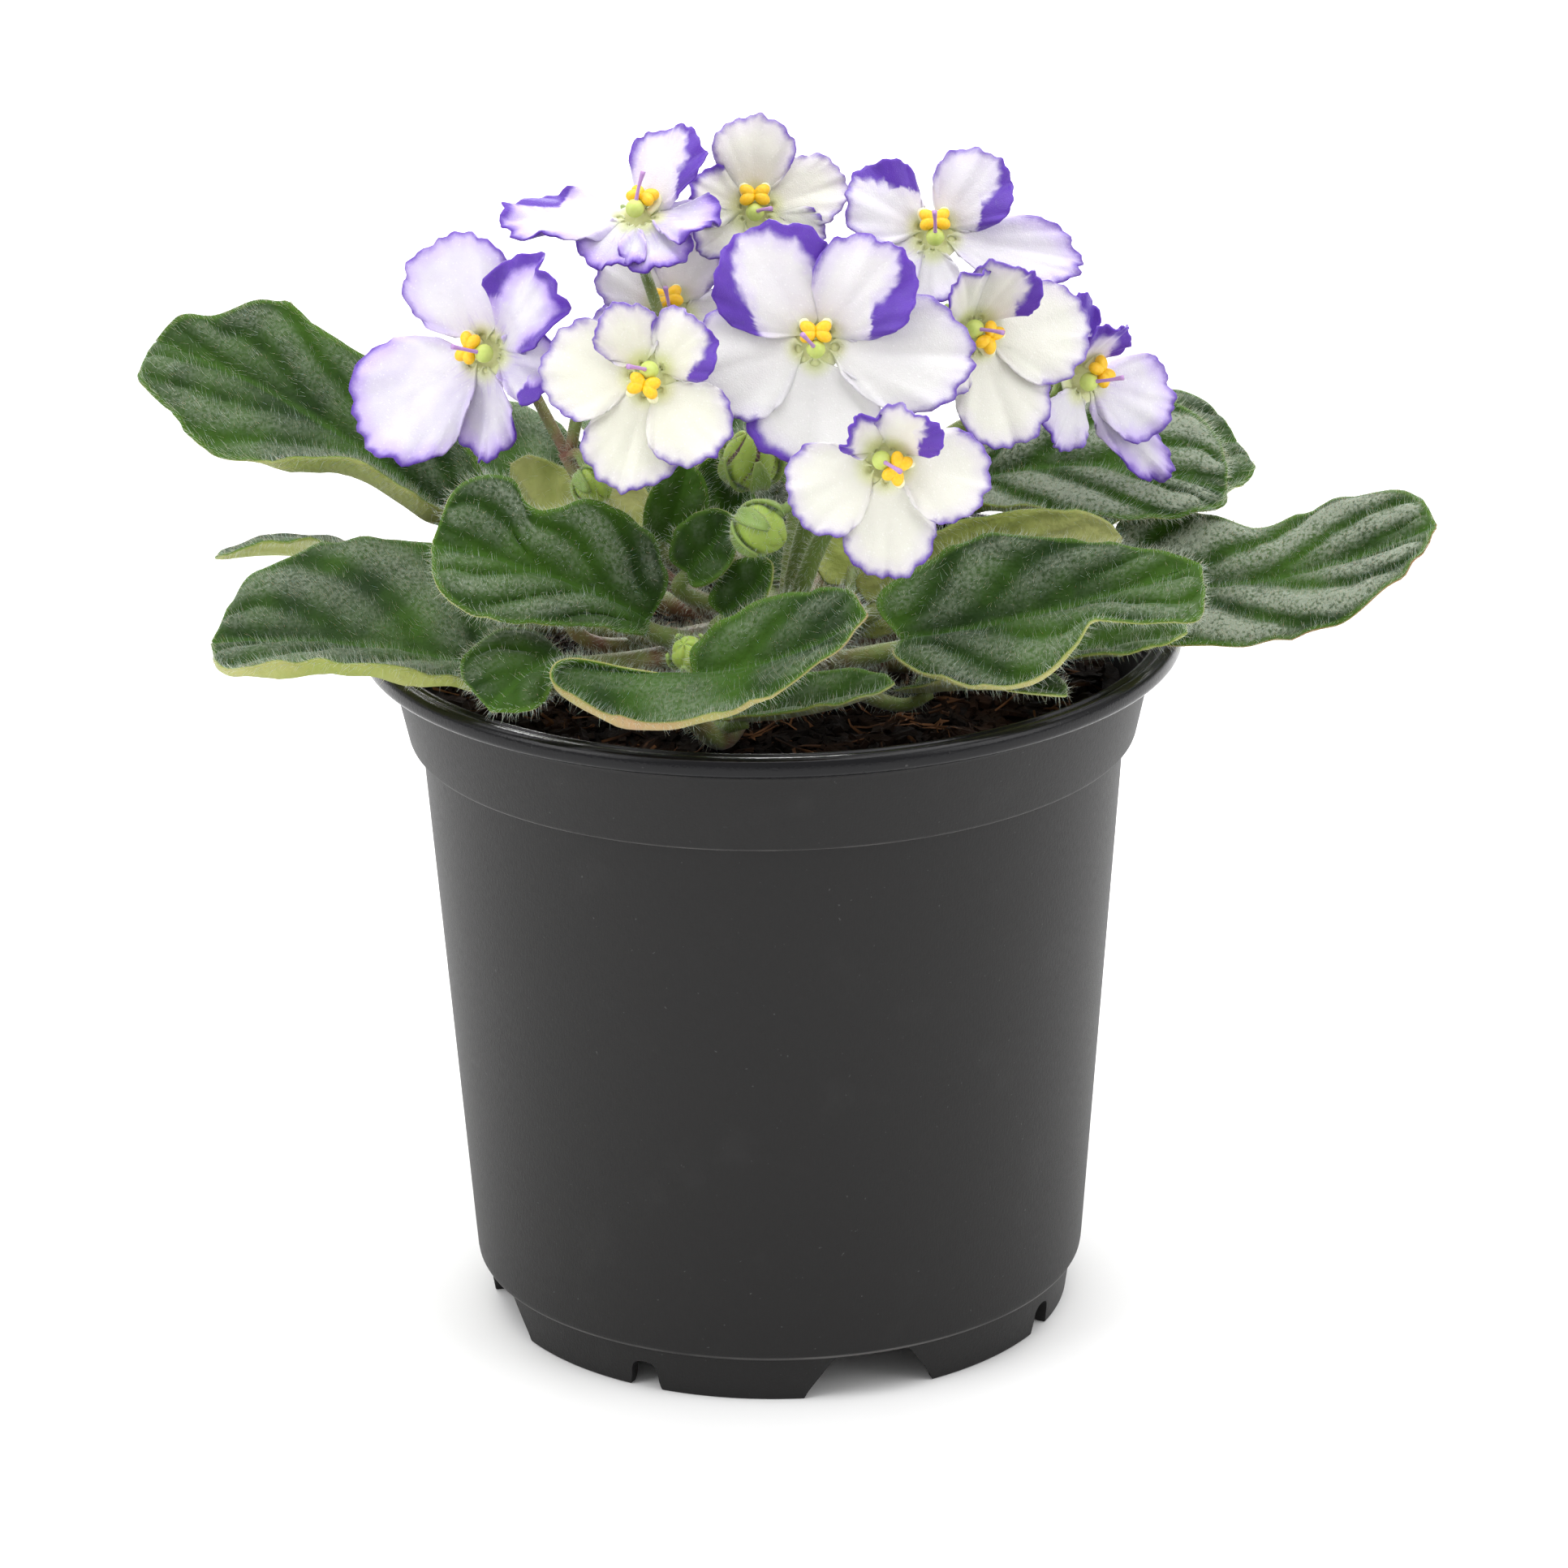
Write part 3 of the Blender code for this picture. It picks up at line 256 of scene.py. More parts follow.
def notch_cutter(name, outline, azimuth):
    """A block with the notch's outline (across, height) that reaches through the skirt."""
    near, far = SKIRT_FOOT_RADIUS - 6, SKIRT_FOOT_RADIUS + 4
    count = len(outline)
    turn = math.radians(azimuth)
    points = [(x * math.cos(turn) + r * math.sin(turn), x * math.sin(turn) - r * math.cos(turn), z)
              for r in (near, far) for x, z in outline]
    faces = [tuple(range(count))[::-1], tuple(range(count, 2 * count))]
    faces += [(k, (k + 1) % count, count + (k + 1) % count, count + k) for k in range(count)]
    return mesh_piece(name, points, faces)


def rounded_outline(corners):
    """A closed outline of (across, height, rounding) with arcs at its corners."""
    loop = corners[-1:] + corners + corners[:1]
    return [tuple(point) for point in rounded(loop, 5)[1:-1]]


wide_notch = rounded_outline([(-10.4, -1.5, 0), (10.4, -1.5, 0), (9.6, 0.9, 1.2), (5.6, 6.8, 1.2), (-5.6, 6.8, 1.2),
                              (-9.6, 0.9, 1.2)])
small_notch = rounded_outline([(-3.2, -1.5, 0), (3.2, -1.5, 0), (2.3, 0.9, 0.8), (1.9, 4.4, 2.2), (-1.9, 4.4, 2.2),
                               (-2.3, 0.9, 0.8)])
drain_hole = [(4.0 * math.sin(t), 4.0 * math.cos(t)) for t in np.linspace(0, 2 * math.pi, 28, endpoint=False)]
cutters = []
for quarter in range(4):
    azimuth = NOTCH_AZIMUTH + quarter * 90
    cutters.append(notch_cutter("wide_cut_%d" % quarter, wide_notch, azimuth))
    cutters.append(notch_cutter("small_cut_%d" % quarter, small_notch, azimuth + 45))
    turn = math.radians(azimuth + 45)
    x, y = 27.0 * math.sin(turn), -27.0 * math.cos(turn)
    drill = [(x + u, y + v, z) for z in (FLOOR_UNDERSIDE - 2, FLOOR_TOP + 2) for u, v in drain_hole]
    sides = [(k, 28 + k, 28 + (k + 1) % 28, (k + 1) % 28) for k in range(28)]
    cutters.append(mesh_piece("drain_%d" % quarter, drill, sides + [tuple(range(28)), tuple(range(55, 27, -1))]))
for cutter in cutters:
    work = bmesh.new()
    work.from_mesh(cutter.data)
    bmesh.ops.recalc_face_normals(work, faces=work.faces)
    work.to_mesh(cutter.data)
    work.free()
    cut = nursery_pot.modifiers.new("cut", "BOOLEAN")
    cut.operation = "DIFFERENCE"
    cut.object = cutter
    cut.solver = "EXACT"
applied(nursery_pot)
for cutter in cutters:
    bpy.data.objects.remove(cutter, do_unlink=True)
nursery_pot.data.shade_smooth()
nursery_pot.data.set_sharp_from_angle(angle=math.radians(40))

# The grain runs up the wall, so the wall's own UV map holds the way round and the height.
wall_map = nursery_pot.data.uv_layers.new(name="wall")
for face in nursery_pot.data.polygons:
    middle = math.atan2(face.center.x, -face.center.y)
    for corner in face.loop_indices:
        spot = nursery_pot.data.vertices[nursery_pot.data.loops[corner].vertex_index].co
        around = math.atan2(spot.x, -spot.y)
        around += 2 * math.pi * round((middle - around) / (2 * math.pi))
        wall_map.data[corner].uv = (around * 0.05, spot.z)

black_plastic = new_material("black_plastic", IOR=1.5, Specular_IOR_Level=0.24)
wall_place = add_node(black_plastic, "ShaderNodeUVMap", uv_map="wall").outputs["UV"]
drawn_grain = noise(black_plastic, 1.0, 4.0, stretched(black_plastic, wall_place, (5200, 700, 1)), 0.65)
matt_pits = noise(black_plastic, 2600, 3.0)
height = add_node(black_plastic, "ShaderNodeSeparateXYZ",
                  {0: add_node(black_plastic, "ShaderNodeTexCoord").outputs["Object"]}).outputs["Z"]
gloss_lip = spread(black_plastic, height, 0.1008, 0.1016)
scuffs = spread(black_plastic, noise(black_plastic, 90, 5.0), 0.55, 0.8)
dust = spread(black_plastic, noise(black_plastic, 1500, 1.0), 0.76, 0.82)
pot_colour = mixed(black_plastic, scuffs, (0.0090, 0.0085, 0.0085, 1), (0.0125, 0.012, 0.012, 1))
pot_colour = mixed(black_plastic, gloss_lip, pot_colour, (0.004, 0.004, 0.005, 1))
pot_colour = mixed(black_plastic, dust, pot_colour, (0.04, 0.04, 0.04, 1))
matt = spread(black_plastic, drawn_grain, 0.2, 0.8, 0.44, 0.56)
# Painted highlights: thin lighter bands in the colour at the collar's foot and the body's foot stand in for light
# caught by those glossy rounded edges.
painted_edge_highlight = []
for level in (COLLAR_FOOT - 0.1, FLOOR_UNDERSIDE + 0.15):
    away = arithmetic(black_plastic, "ADD", height, -level * MM)
    away = arithmetic(black_plastic, "ABSOLUTE", away)
    painted_edge_highlight.append(spread(black_plastic, away, 0.00012, 0.00042, 1.0, 0.0))
painted_edge_highlight = arithmetic(black_plastic, "ADD", painted_edge_highlight[0], painted_edge_highlight[1])
edge_highlight_strength = spread(black_plastic, noise(black_plastic, 60, 3.0), 0.3, 0.7, 0.1, 0.5)
pot_colour = mixed(black_plastic, arithmetic(black_plastic, "MULTIPLY", painted_edge_highlight, edge_highlight_strength), pot_colour,
                   (0.16, 0.155, 0.15, 1))
roughness = add_node(black_plastic, "ShaderNodeMix", {0: gloss_lip, 2: matt, 3: 0.13}).outputs[0]
grain_height = arithmetic(black_plastic, "ADD", drawn_grain, matt_pits)
finish_with(black_plastic, Base_Color=pot_colour, Roughness=roughness,
            Normal=relief(black_plastic, grain_height, 0.00006, 0.5))
nursery_pot.data.materials.append(black_plastic)
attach(nursery_pot, "root")
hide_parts("pot")


# The potting mix.
# Dark bark and peat, filled loosely to just below the lip. Chips of bark and reddish fibres lie
# on its lumpy surface, and pressing the young plant in has left the crown a plain hole.
SOIL_LEVEL = 96.0
SOIL_RADIUS = COLLAR_FOOT_RADIUS - WALL - 0.4
CROWN_RADIUS = 7.0


def soil_height(x, y):
    """Lumpy surface of bark and peat, in millimetres."""
    lumps = (np.sin(0.31 * x + 1.3) * np.cos(0.27 * y) + 0.6 * np.sin(0.55 * x - 0.42 * y)
             + 0.5 * np.cos(0.71 * y + 0.33 * x))
    crumbs = np.sin(1.9 * x + 0.7 * y) * np.cos(2.3 * y - 0.4 * x) + 0.7 * np.sin(3.7 * x - 2.9 * y + 1.0)
    return SOIL_LEVEL + 0.66 * lumps + 0.28 * crumbs


soil_steps = 144
soil_turn = np.linspace(0, 2 * math.pi, soil_steps, endpoint=False)
soil_grain = np.random.default_rng(5)
soil_rings = []
for radius in np.linspace(CROWN_RADIUS + 0.3, SOIL_RADIUS - 0.3, 38):
    x, y = radius * np.sin(soil_turn), -radius * np.cos(soil_turn)
    jitter = soil_grain.normal(0.0, 0.22, soil_steps)
    edge = -1.2 * max(0.0, (radius - SOIL_RADIUS + 4) / 4)
    soil_rings.append(np.stack([x, y, soil_height(x, y) + jitter + edge], axis=1))
below = [(SOIL_RADIUS, COLLAR_FOOT + 1.2), (BODY_TOP_RADIUS - WALL - 0.3, COLLAR_FOOT - 0.6),
         (BODY_FOOT_RADIUS - WALL - 0.3, FLOOR_TOP + 1.6), (BODY_FOOT_RADIUS - WALL - 1.2, FLOOR_TOP + 0.3)]
for radius, level in below:
    soil_rings.append(np.stack([radius * np.sin(soil_turn), -radius * np.cos(soil_turn),
                                np.full(soil_steps, level)], axis=1))
hole_foot = np.stack([(CROWN_RADIUS + 0.3) * np.sin(soil_turn), -(CROWN_RADIUS + 0.3) * np.cos(soil_turn),
                      np.full(soil_steps, 83.7)], axis=1)
soil_rings.insert(0, hole_foot)
soil_points = np.concatenate(soil_rings + [[(0, 0, 83.7), (0, 0, FLOOR_TOP + 0.3)]])
soil_faces = []
for k in range(soil_steps):
    n = (k + 1) % soil_steps
    for i in range(len(soil_rings) - 1):
        a, b = i * soil_steps, (i + 1) * soil_steps
        soil_faces.append((a + k, b + k, b + n, a + n))
    soil_faces.append((len(soil_points) - 2, k, n))
    soil_faces.append((len(soil_points) - 1, b + n, b + k))
potting_mix = mesh_piece("potting_mix_bed", soil_points, soil_faces)

peat = new_material("peat", Roughness=0.95, Specular_IOR_Level=0.25)
clods = noise(peat, 420, 6.0, roughness=0.7)
peat_colour = mixed(peat, spread(peat, clods, 0.35, 0.7), (0.002, 0.0014, 0.001, 1), (0.010, 0.005, 0.003, 1))
peat_colour = mixed(peat, spread(peat, noise(peat, 160, 4.0), 0.58, 0.72), peat_colour, (0.040, 0.018, 0.008, 1))
finish_with(peat, Base_Color=peat_colour, Normal=relief(peat, clods, 0.0012, 1.0))
potting_mix.data.materials.append(peat)
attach(potting_mix, "root")
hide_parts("potting_mix")


def new_tree(name, sizes):
    """A geometry tree with one geometry in and out and a named input for each size."""
    tree = bpy.data.node_groups.new(name, "GeometryNodeTree")
    tree.interface.new_socket("Geometry", in_out="INPUT", socket_type="NodeSocketGeometry")
    tree.interface.new_socket("Geometry", in_out="OUTPUT", socket_type="NodeSocketGeometry")
    for label, kind in sizes.items():
        tree.interface.new_socket(label, in_out="INPUT", socket_type="NodeSocket" + kind)
    return tree, tree.nodes.new("NodeGroupInput"), tree.nodes.new("NodeGroupOutput")


def grown(name, ground, tree, sizes):
    """What a tree grows on the ground mesh, as a plain mesh piece of its own."""
    piece = bpy.data.objects.new(name, ground)
    scene.collection.objects.link(piece)
    modifier = piece.modifiers.new("grow", "NODES")
    modifier.node_group = tree
    for item in tree.interface.items_tree:
        if item.in_out == "INPUT" and item.name in sizes:
            modifier[item.identifier] = sizes[item.name]
    return applied(piece)


# Bark chips and fibres are scattered by one tree. A chip is a short bent bar, and a fibre is the
# same bar drawn out thin.
scatter, scatter_in, scatter_out = new_tree("bark_scatter", {
    "Per square metre": "Float", "Smallest": "Vector", "Largest": "Vector", "Crumple": "Float", "Lift": "Float",
    "Tip": "Float", "Seed": "Int", "Finish": "Material"})
spots = add_node(scatter, "GeometryNodeDistributePointsOnFaces", {
    "Mesh": scatter_in.outputs["Geometry"], "Density": scatter_in.outputs["Per square metre"],
    "Seed": scatter_in.outputs["Seed"]})
bar = add_node(scatter, "GeometryNodeMeshCylinder", {
    "Vertices": 5, "Side Segments": 4, "Radius": 0.0005, "Depth": 0.001}, fill_type="TRIANGLE_FAN")
tilt = add_node(scatter, "ShaderNodeCombineXYZ", {
    "X": arithmetic(scatter, "MULTIPLY", scatter_in.outputs["Tip"], -1.0),
    "Y": 0.0, "Z": -3.2})
tilt_end = add_node(scatter, "ShaderNodeCombineXYZ", {"X": scatter_in.outputs["Tip"], "Y": 0.0, "Z": 3.2})
lying = add_node(scatter, "FunctionNodeRandomValue", {
    0: tilt.outputs[0], 1: tilt_end.outputs[0], "Seed": scatter_in.outputs["Seed"]}, data_type="FLOAT_VECTOR")
turned_down = vector_step(scatter, "ADD", lying.outputs[0], (math.pi / 2, 0, 0))
build = add_node(scatter, "FunctionNodeRandomValue", {
    0: scatter_in.outputs["Smallest"], 1: scatter_in.outputs["Largest"], "Seed": 11}, data_type="FLOAT_VECTOR")
lifted = add_node(scatter, "ShaderNodeCombineXYZ", {"Z": scatter_in.outputs["Lift"]})
raised = add_node(scatter, "GeometryNodeSetPosition", {
    "Geometry": spots.outputs["Points"], "Offset": lifted.outputs[0]})
copies = add_node(scatter, "GeometryNodeInstanceOnPoints", {
    "Points": raised.outputs[0], "Instance": bar.outputs["Mesh"], "Rotation": turned_down,
    "Scale": build.outputs[0]})
loose = add_node(scatter, "GeometryNodeRealizeInstances", {"Geometry": copies.outputs[0]})
place = add_node(scatter, "GeometryNodeInputPosition")
wander = add_node(scatter, "ShaderNodeTexNoise", {"Vector": place.outputs[0], "Scale": 240.0, "Detail": 2.0})
centred = vector_step(scatter, "SUBTRACT", wander.outputs["Color"], (0.5, 0.5, 0.5))
amount = vector_step(scatter, "SCALE", centred, scatter_in.outputs["Crumple"])
bent = add_node(scatter, "GeometryNodeSetPosition", {"Geometry": loose.outputs[0], "Offset": amount})
painted = add_node(scatter, "GeometryNodeSetMaterial", {
    "Geometry": bent.outputs[0], "Material": scatter_in.outputs["Finish"]})
scatter.links.new(painted.outputs[0], scatter_out.inputs[0])

bark = new_material("bark", Roughness=0.9, Specular_IOR_Level=0.12)
bark_grain = noise(bark, 500, 5.0, roughness=0.65)
bark_colour = mixed(bark, spread(bark, noise(bark, 110, 2.0), 0.35, 0.68), (0.003, 0.002, 0.0015, 1),
                    (0.022, 0.010, 0.005, 1))
bark_colour = mixed(bark, spread(bark, bark_grain, 0.4, 0.75), bark_colour, (0.009, 0.005, 0.003, 1))
finish_with(bark, Base_Color=bark_colour, Normal=relief(bark, bark_grain, 0.0006, 0.9))
fibre = new_material("fibre", Roughness=0.8, Specular_IOR_Level=0.2)
finish_with(fibre, Base_Color=mixed(fibre, spread(fibre, noise(fibre, 130, 2.0), 0.35, 0.65),
                                    (0.018, 0.008, 0.004, 1), (0.13, 0.055, 0.020, 1)))

bed_ring = np.linspace(8.5, SOIL_RADIUS - 3.4, 24)
bed_points = [(r * math.sin(t), -r * math.cos(t), float(soil_height(r * math.sin(t), -r * math.cos(t))))
              for r in bed_ring for t in soil_turn]
bed_faces = [(i * soil_steps + k, (i + 1) * soil_steps + k, (i + 1) * soil_steps + (k + 1) % soil_steps,
              i * soil_steps + (k + 1) % soil_steps) for i in range(len(bed_ring) - 1) for k in range(soil_steps)]
bed = mesh_piece("bed", bed_points, bed_faces)
litter = (("bark_chips", bark, 210000, (0.9, 0.6, 1.4), (2.6, 1.7, 5.0), 0.0024, 0.0005, 0.35, 3),
          ("bark_crumbs", bark, 400000, (0.5, 0.4, 0.6), (1.3, 1.0, 1.9), 0.0016, 0.0003, 0.9, 8),
          ("rootlets", fibre, 34000, (0.16, 0.16, 4.0), (0.42, 0.42, 12.0), 0.0060, 0.0012, 0.30, 21))
for name, finish, density, smallest, largest, crumple, lift, tip, seed in litter:
    pieces = grown(name, bed.data, scatter, {
        "Per square metre": float(density), "Smallest": smallest, "Largest": largest, "Crumple": crumple,
        "Lift": lift, "Tip": tip, "Seed": seed, "Finish": finish})
    pieces.data.shade_flat()
    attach(pieces, "root")
bpy.data.objects.remove(bed, do_unlink=True)

# The crown and its stalks.
# The plant grew from one short crown that stands in the potting mix. Fleshy, hairy leaf stalks
# and thinner flower stalks leave it, and calyxes and green buds end the flower stalks.
# Leaves: base and tip are the ends of the midrib, up is the way the upper face looks, arch bends
# the midrib, left and right are stations on each edge (share of the midrib's length, distance
# out, rise), and via is where the stalk passes. Plain leaves have a width and a cup instead.
LEAVES = {
    "leaf_01": dict(base=(-46, 10, 117), tip=(-92, 42, 136), up=(-0.1, -0.45, 0.9), arch=0.08,
                    left=[(0.04, 5, 4), (0.22, 8, 6), (0.42, 13, 3), (0.6, 14.5, 0), (0.78, 11, 0),
                          (0.93, 8, 0)],
                    right=[(0.0, 6, 3), (0.3, 11, 5), (0.55, 10.5, 5), (0.72, 11.5, 6), (0.86, 7, 3),
                           (0.97, 4, 2)],
                    via=(-24, 6, 108)),
    "leaf_02": dict(base=(-38, -28, 107), tip=(-80, -22, 110), up=(0, -0.22, 1), arch=0.05,
                    left=[(0.02, 7, 1), (0.3, 12, 3), (0.65, 12, 2), (0.9, 9, 0)],
                    right=[(-0.02, 10, 3), (0.3, 21, 5), (0.62, 20, 5), (0.9, 14, 3)],
                    via=(-20, -15, 103)),
    "leaf_03": dict(base=(-17, -32, 116), tip=(-47, -42, 131), up=(-0.15, -0.6, 0.8), arch=0.06,
                    left=[(0.03, 3, 0), (0.3, 6.5, 1), (0.55, 9.5, 1), (0.8, 11, 1), (0.97, 8, 1)],
                    right=[(0.0, 5, 3), (0.13, 9.5, 5), (0.3, 10.5, 6), (0.45, 10, 6), (0.62, 7, 4),
                           (0.74, 11, 4), (0.92, 9, 3)],
                    via=(-9, -22, 109)),
    "leaf_04": dict(base=(-29, -42, 114.5), tip=(-39, -54, 110.5), up=(-0.1, -0.5, 0.85), arch=0.12,
                    left=[(0.0, 3, 1), (0.4, 4.5, 0), (0.8, 4.5, -1)],
                    right=[(0.0, 5, 1), (0.4, 8.5, 1), (0.8, 8, 0)],
                    via=(-16, -28, 109)),
    "leaf_05": dict(base=(-11, -50, 114), tip=(13, -60, 126), up=(-0.25, -0.45, 0.85), arch=-0.08,
                    left=[(0.0, 3, 2), (0.25, 7, 4), (0.6, 8, 3), (0.88, 6, 1)],
                    right=[(-0.25, 0.5, 2), (-0.5, 1, 3.5), (-0.55, 5, 3.5), (-0.25, 10, 1.5), (0.1, 10.5, 1.5),
                           (0.6, 8, 2), (0.92, 4, 1)],
                    via=(-8, -40, 101)),
    "leaf_06": dict(base=(18, -36, 114), tip=(60, -40, 126), up=(0, -0.45, 0.9), arch=-0.04,
                    left=[(-0.06, 6, 2), (0.1, 10, 4), (0.3, 12.5, 5), (0.6, 9.5, 3), (0.88, 4, 1)],
                    right=[(-0.02, 4, 1), (0.12, 10, 1), (0.3, 13, 0), (0.5, 12, 1), (0.65, 8.5, 4),
                           (0.82, 10, 2), (0.97, 10, 0)],
                    via=(8, -22, 106)),
    "leaf_07": dict(base=(50, 0, 109), tip=(95.5, -12, 122), up=(0, -0.35, 0.9), arch=-0.08,
                    left=[(0.0, 9, 5), (0.2, 12, 5), (0.42, 10, 2), (0.7, 12.5, 2), (0.93, 8, 1)],
                    right=[(0.0, 10, 1), (0.35, 15, 1), (0.7, 15, 1), (0.95, 8, 1)],
                    via=(24, 0, 104)),
    "leaf_08": dict(base=(30, 12, 122), tip=(67, 10, 120), up=(0, -0.45, 0.9), arch=0.12,
                    left=[(0.0, 8, 1), (0.3, 13, 3), (0.7, 13, 3), (0.95, 9, 1)],
                    right=[(0.0, 7, 1), (0.3, 11.5, 2), (0.7, 10, 0), (0.97, 4, 1)],
                    via=(15, 8, 112)),
    "leaf_09": dict(base=(42, 34, 112), tip=(71, 45, 117), up=(0.1, -0.4, 0.9), arch=0.10,
                    left=[(0.0, 9, 2), (0.3, 11, 3), (0.7, 11, 2), (0.95, 8, 1)],
                    right=[(0.0, 9, 1), (0.3, 13, 2), (0.7, 13, 1), (0.95, 8, 1)],
                    via=(20, 16, 107)),
    "leaf_10": dict(base=(-54, 4, 110), tip=(-81, 2, 115), up=(0.1, 0.3, 1), arch=0.10, width=10, cup=2,
                    via=(-27, 0, 104)),
    "leaf_11": dict(base=(-6, -38, 103.5), tip=(17, -44, 110.5), up=(-0.2, -0.1, 1), arch=-0.05,
                    width=6, cup=3,
                    via=(-5, -24, 100.5)),
    "leaf_12": dict(base=(20, -32, 105), tip=(41, -46, 109), up=(0, 0, 1), arch=0.05, width=6, cup=2,
                    via=(10, -18, 101)),
    "leaf_13": dict(base=(36, -14, 104), tip=(59, -24, 110.5), up=(0, -0.1, 1), arch=-0.05, width=9, cup=3,
                    via=(18, -8, 101)),
    "leaf_14": dict(base=(-15, -18, 123), tip=(-11.5, -16, 134), up=(0.1, -1, 0.15), arch=0.06,
                    width=4.5, cup=1.5,
                    via=(-7, -9, 114)),
    "leaf_15": dict(base=(-6.5, -15, 123), tip=(-8, -13, 134), up=(0.1, -1, 0.2), arch=-0.1,
                    width=5, cup=1.5,
                    via=(-3, -8, 114)),
    "leaf_16": dict(base=(-12, -26, 121), tip=(-5.5, -28, 130), up=(-0.4, -0.8, 0.4), arch=-0.1,
                    width=5, cup=2,
                    via=(-5, -14, 111)),
    "leaf_17": dict(base=(-7, -29, 115.5), tip=(0, -33, 124.5), up=(-0.5, -0.7, 0.5), arch=-0.1,
                    width=4.5, cup=2,
                    via=(-2, -15, 107)),
    "leaf_18": dict(base=(-30, -14, 120), tip=(-37, -5, 131), up=(0.4, 0.9, 0.5), arch=0.08, width=7, cup=2,
                    via=(-27, -19, 109)),
    "leaf_19": dict(base=(-22, -12, 120), tip=(-25, -5, 131), up=(0.2, 0.9, 0.3), arch=0.08,
                    width=6, cup=1.5,
                    via=(-20, -17, 109)),
    "leaf_20": dict(base=(14, -15, 112), tip=(51, -4, 118), up=(-0.1, 0.95, 0.35), arch=0.04,
                    width=9.0, cup=0.5,
                    via=(11, -5, 105)),
    "leaf_21": dict(base=(11, -9, 113), tip=(14, -2, 122), up=(0, 0.9, 0.4), arch=0.05, width=5.5, cup=1.5,
                    via=(9, -12, 106)),
    "leaf_22": dict(base=(-32, 28, 113), tip=(-64, 49, 120), up=(-0.3, 0.2, 1), arch=0.06, width=16, cup=4,
                    via=(-16, 14, 106)),
    "leaf_23": dict(base=(-9, 30, 114), tip=(-21, 61, 120), up=(-0.1, 0.2, 1), arch=0.08, width=15, cup=4,
                    via=(-5, 14, 108)),
    "leaf_24": dict(base=(13.5, 32, 112), tip=(15, 62, 113), up=(0.1, 0.1, 1), arch=0.08, width=16, cup=3,
                    via=(7, 15, 105)),
    "leaf_25": dict(base=(0, 24, 103), tip=(-1, 50, 110.5), up=(0, 0, 1), arch=0.06, width=9, cup=2,
                    via=(0, 12, 101)),
}

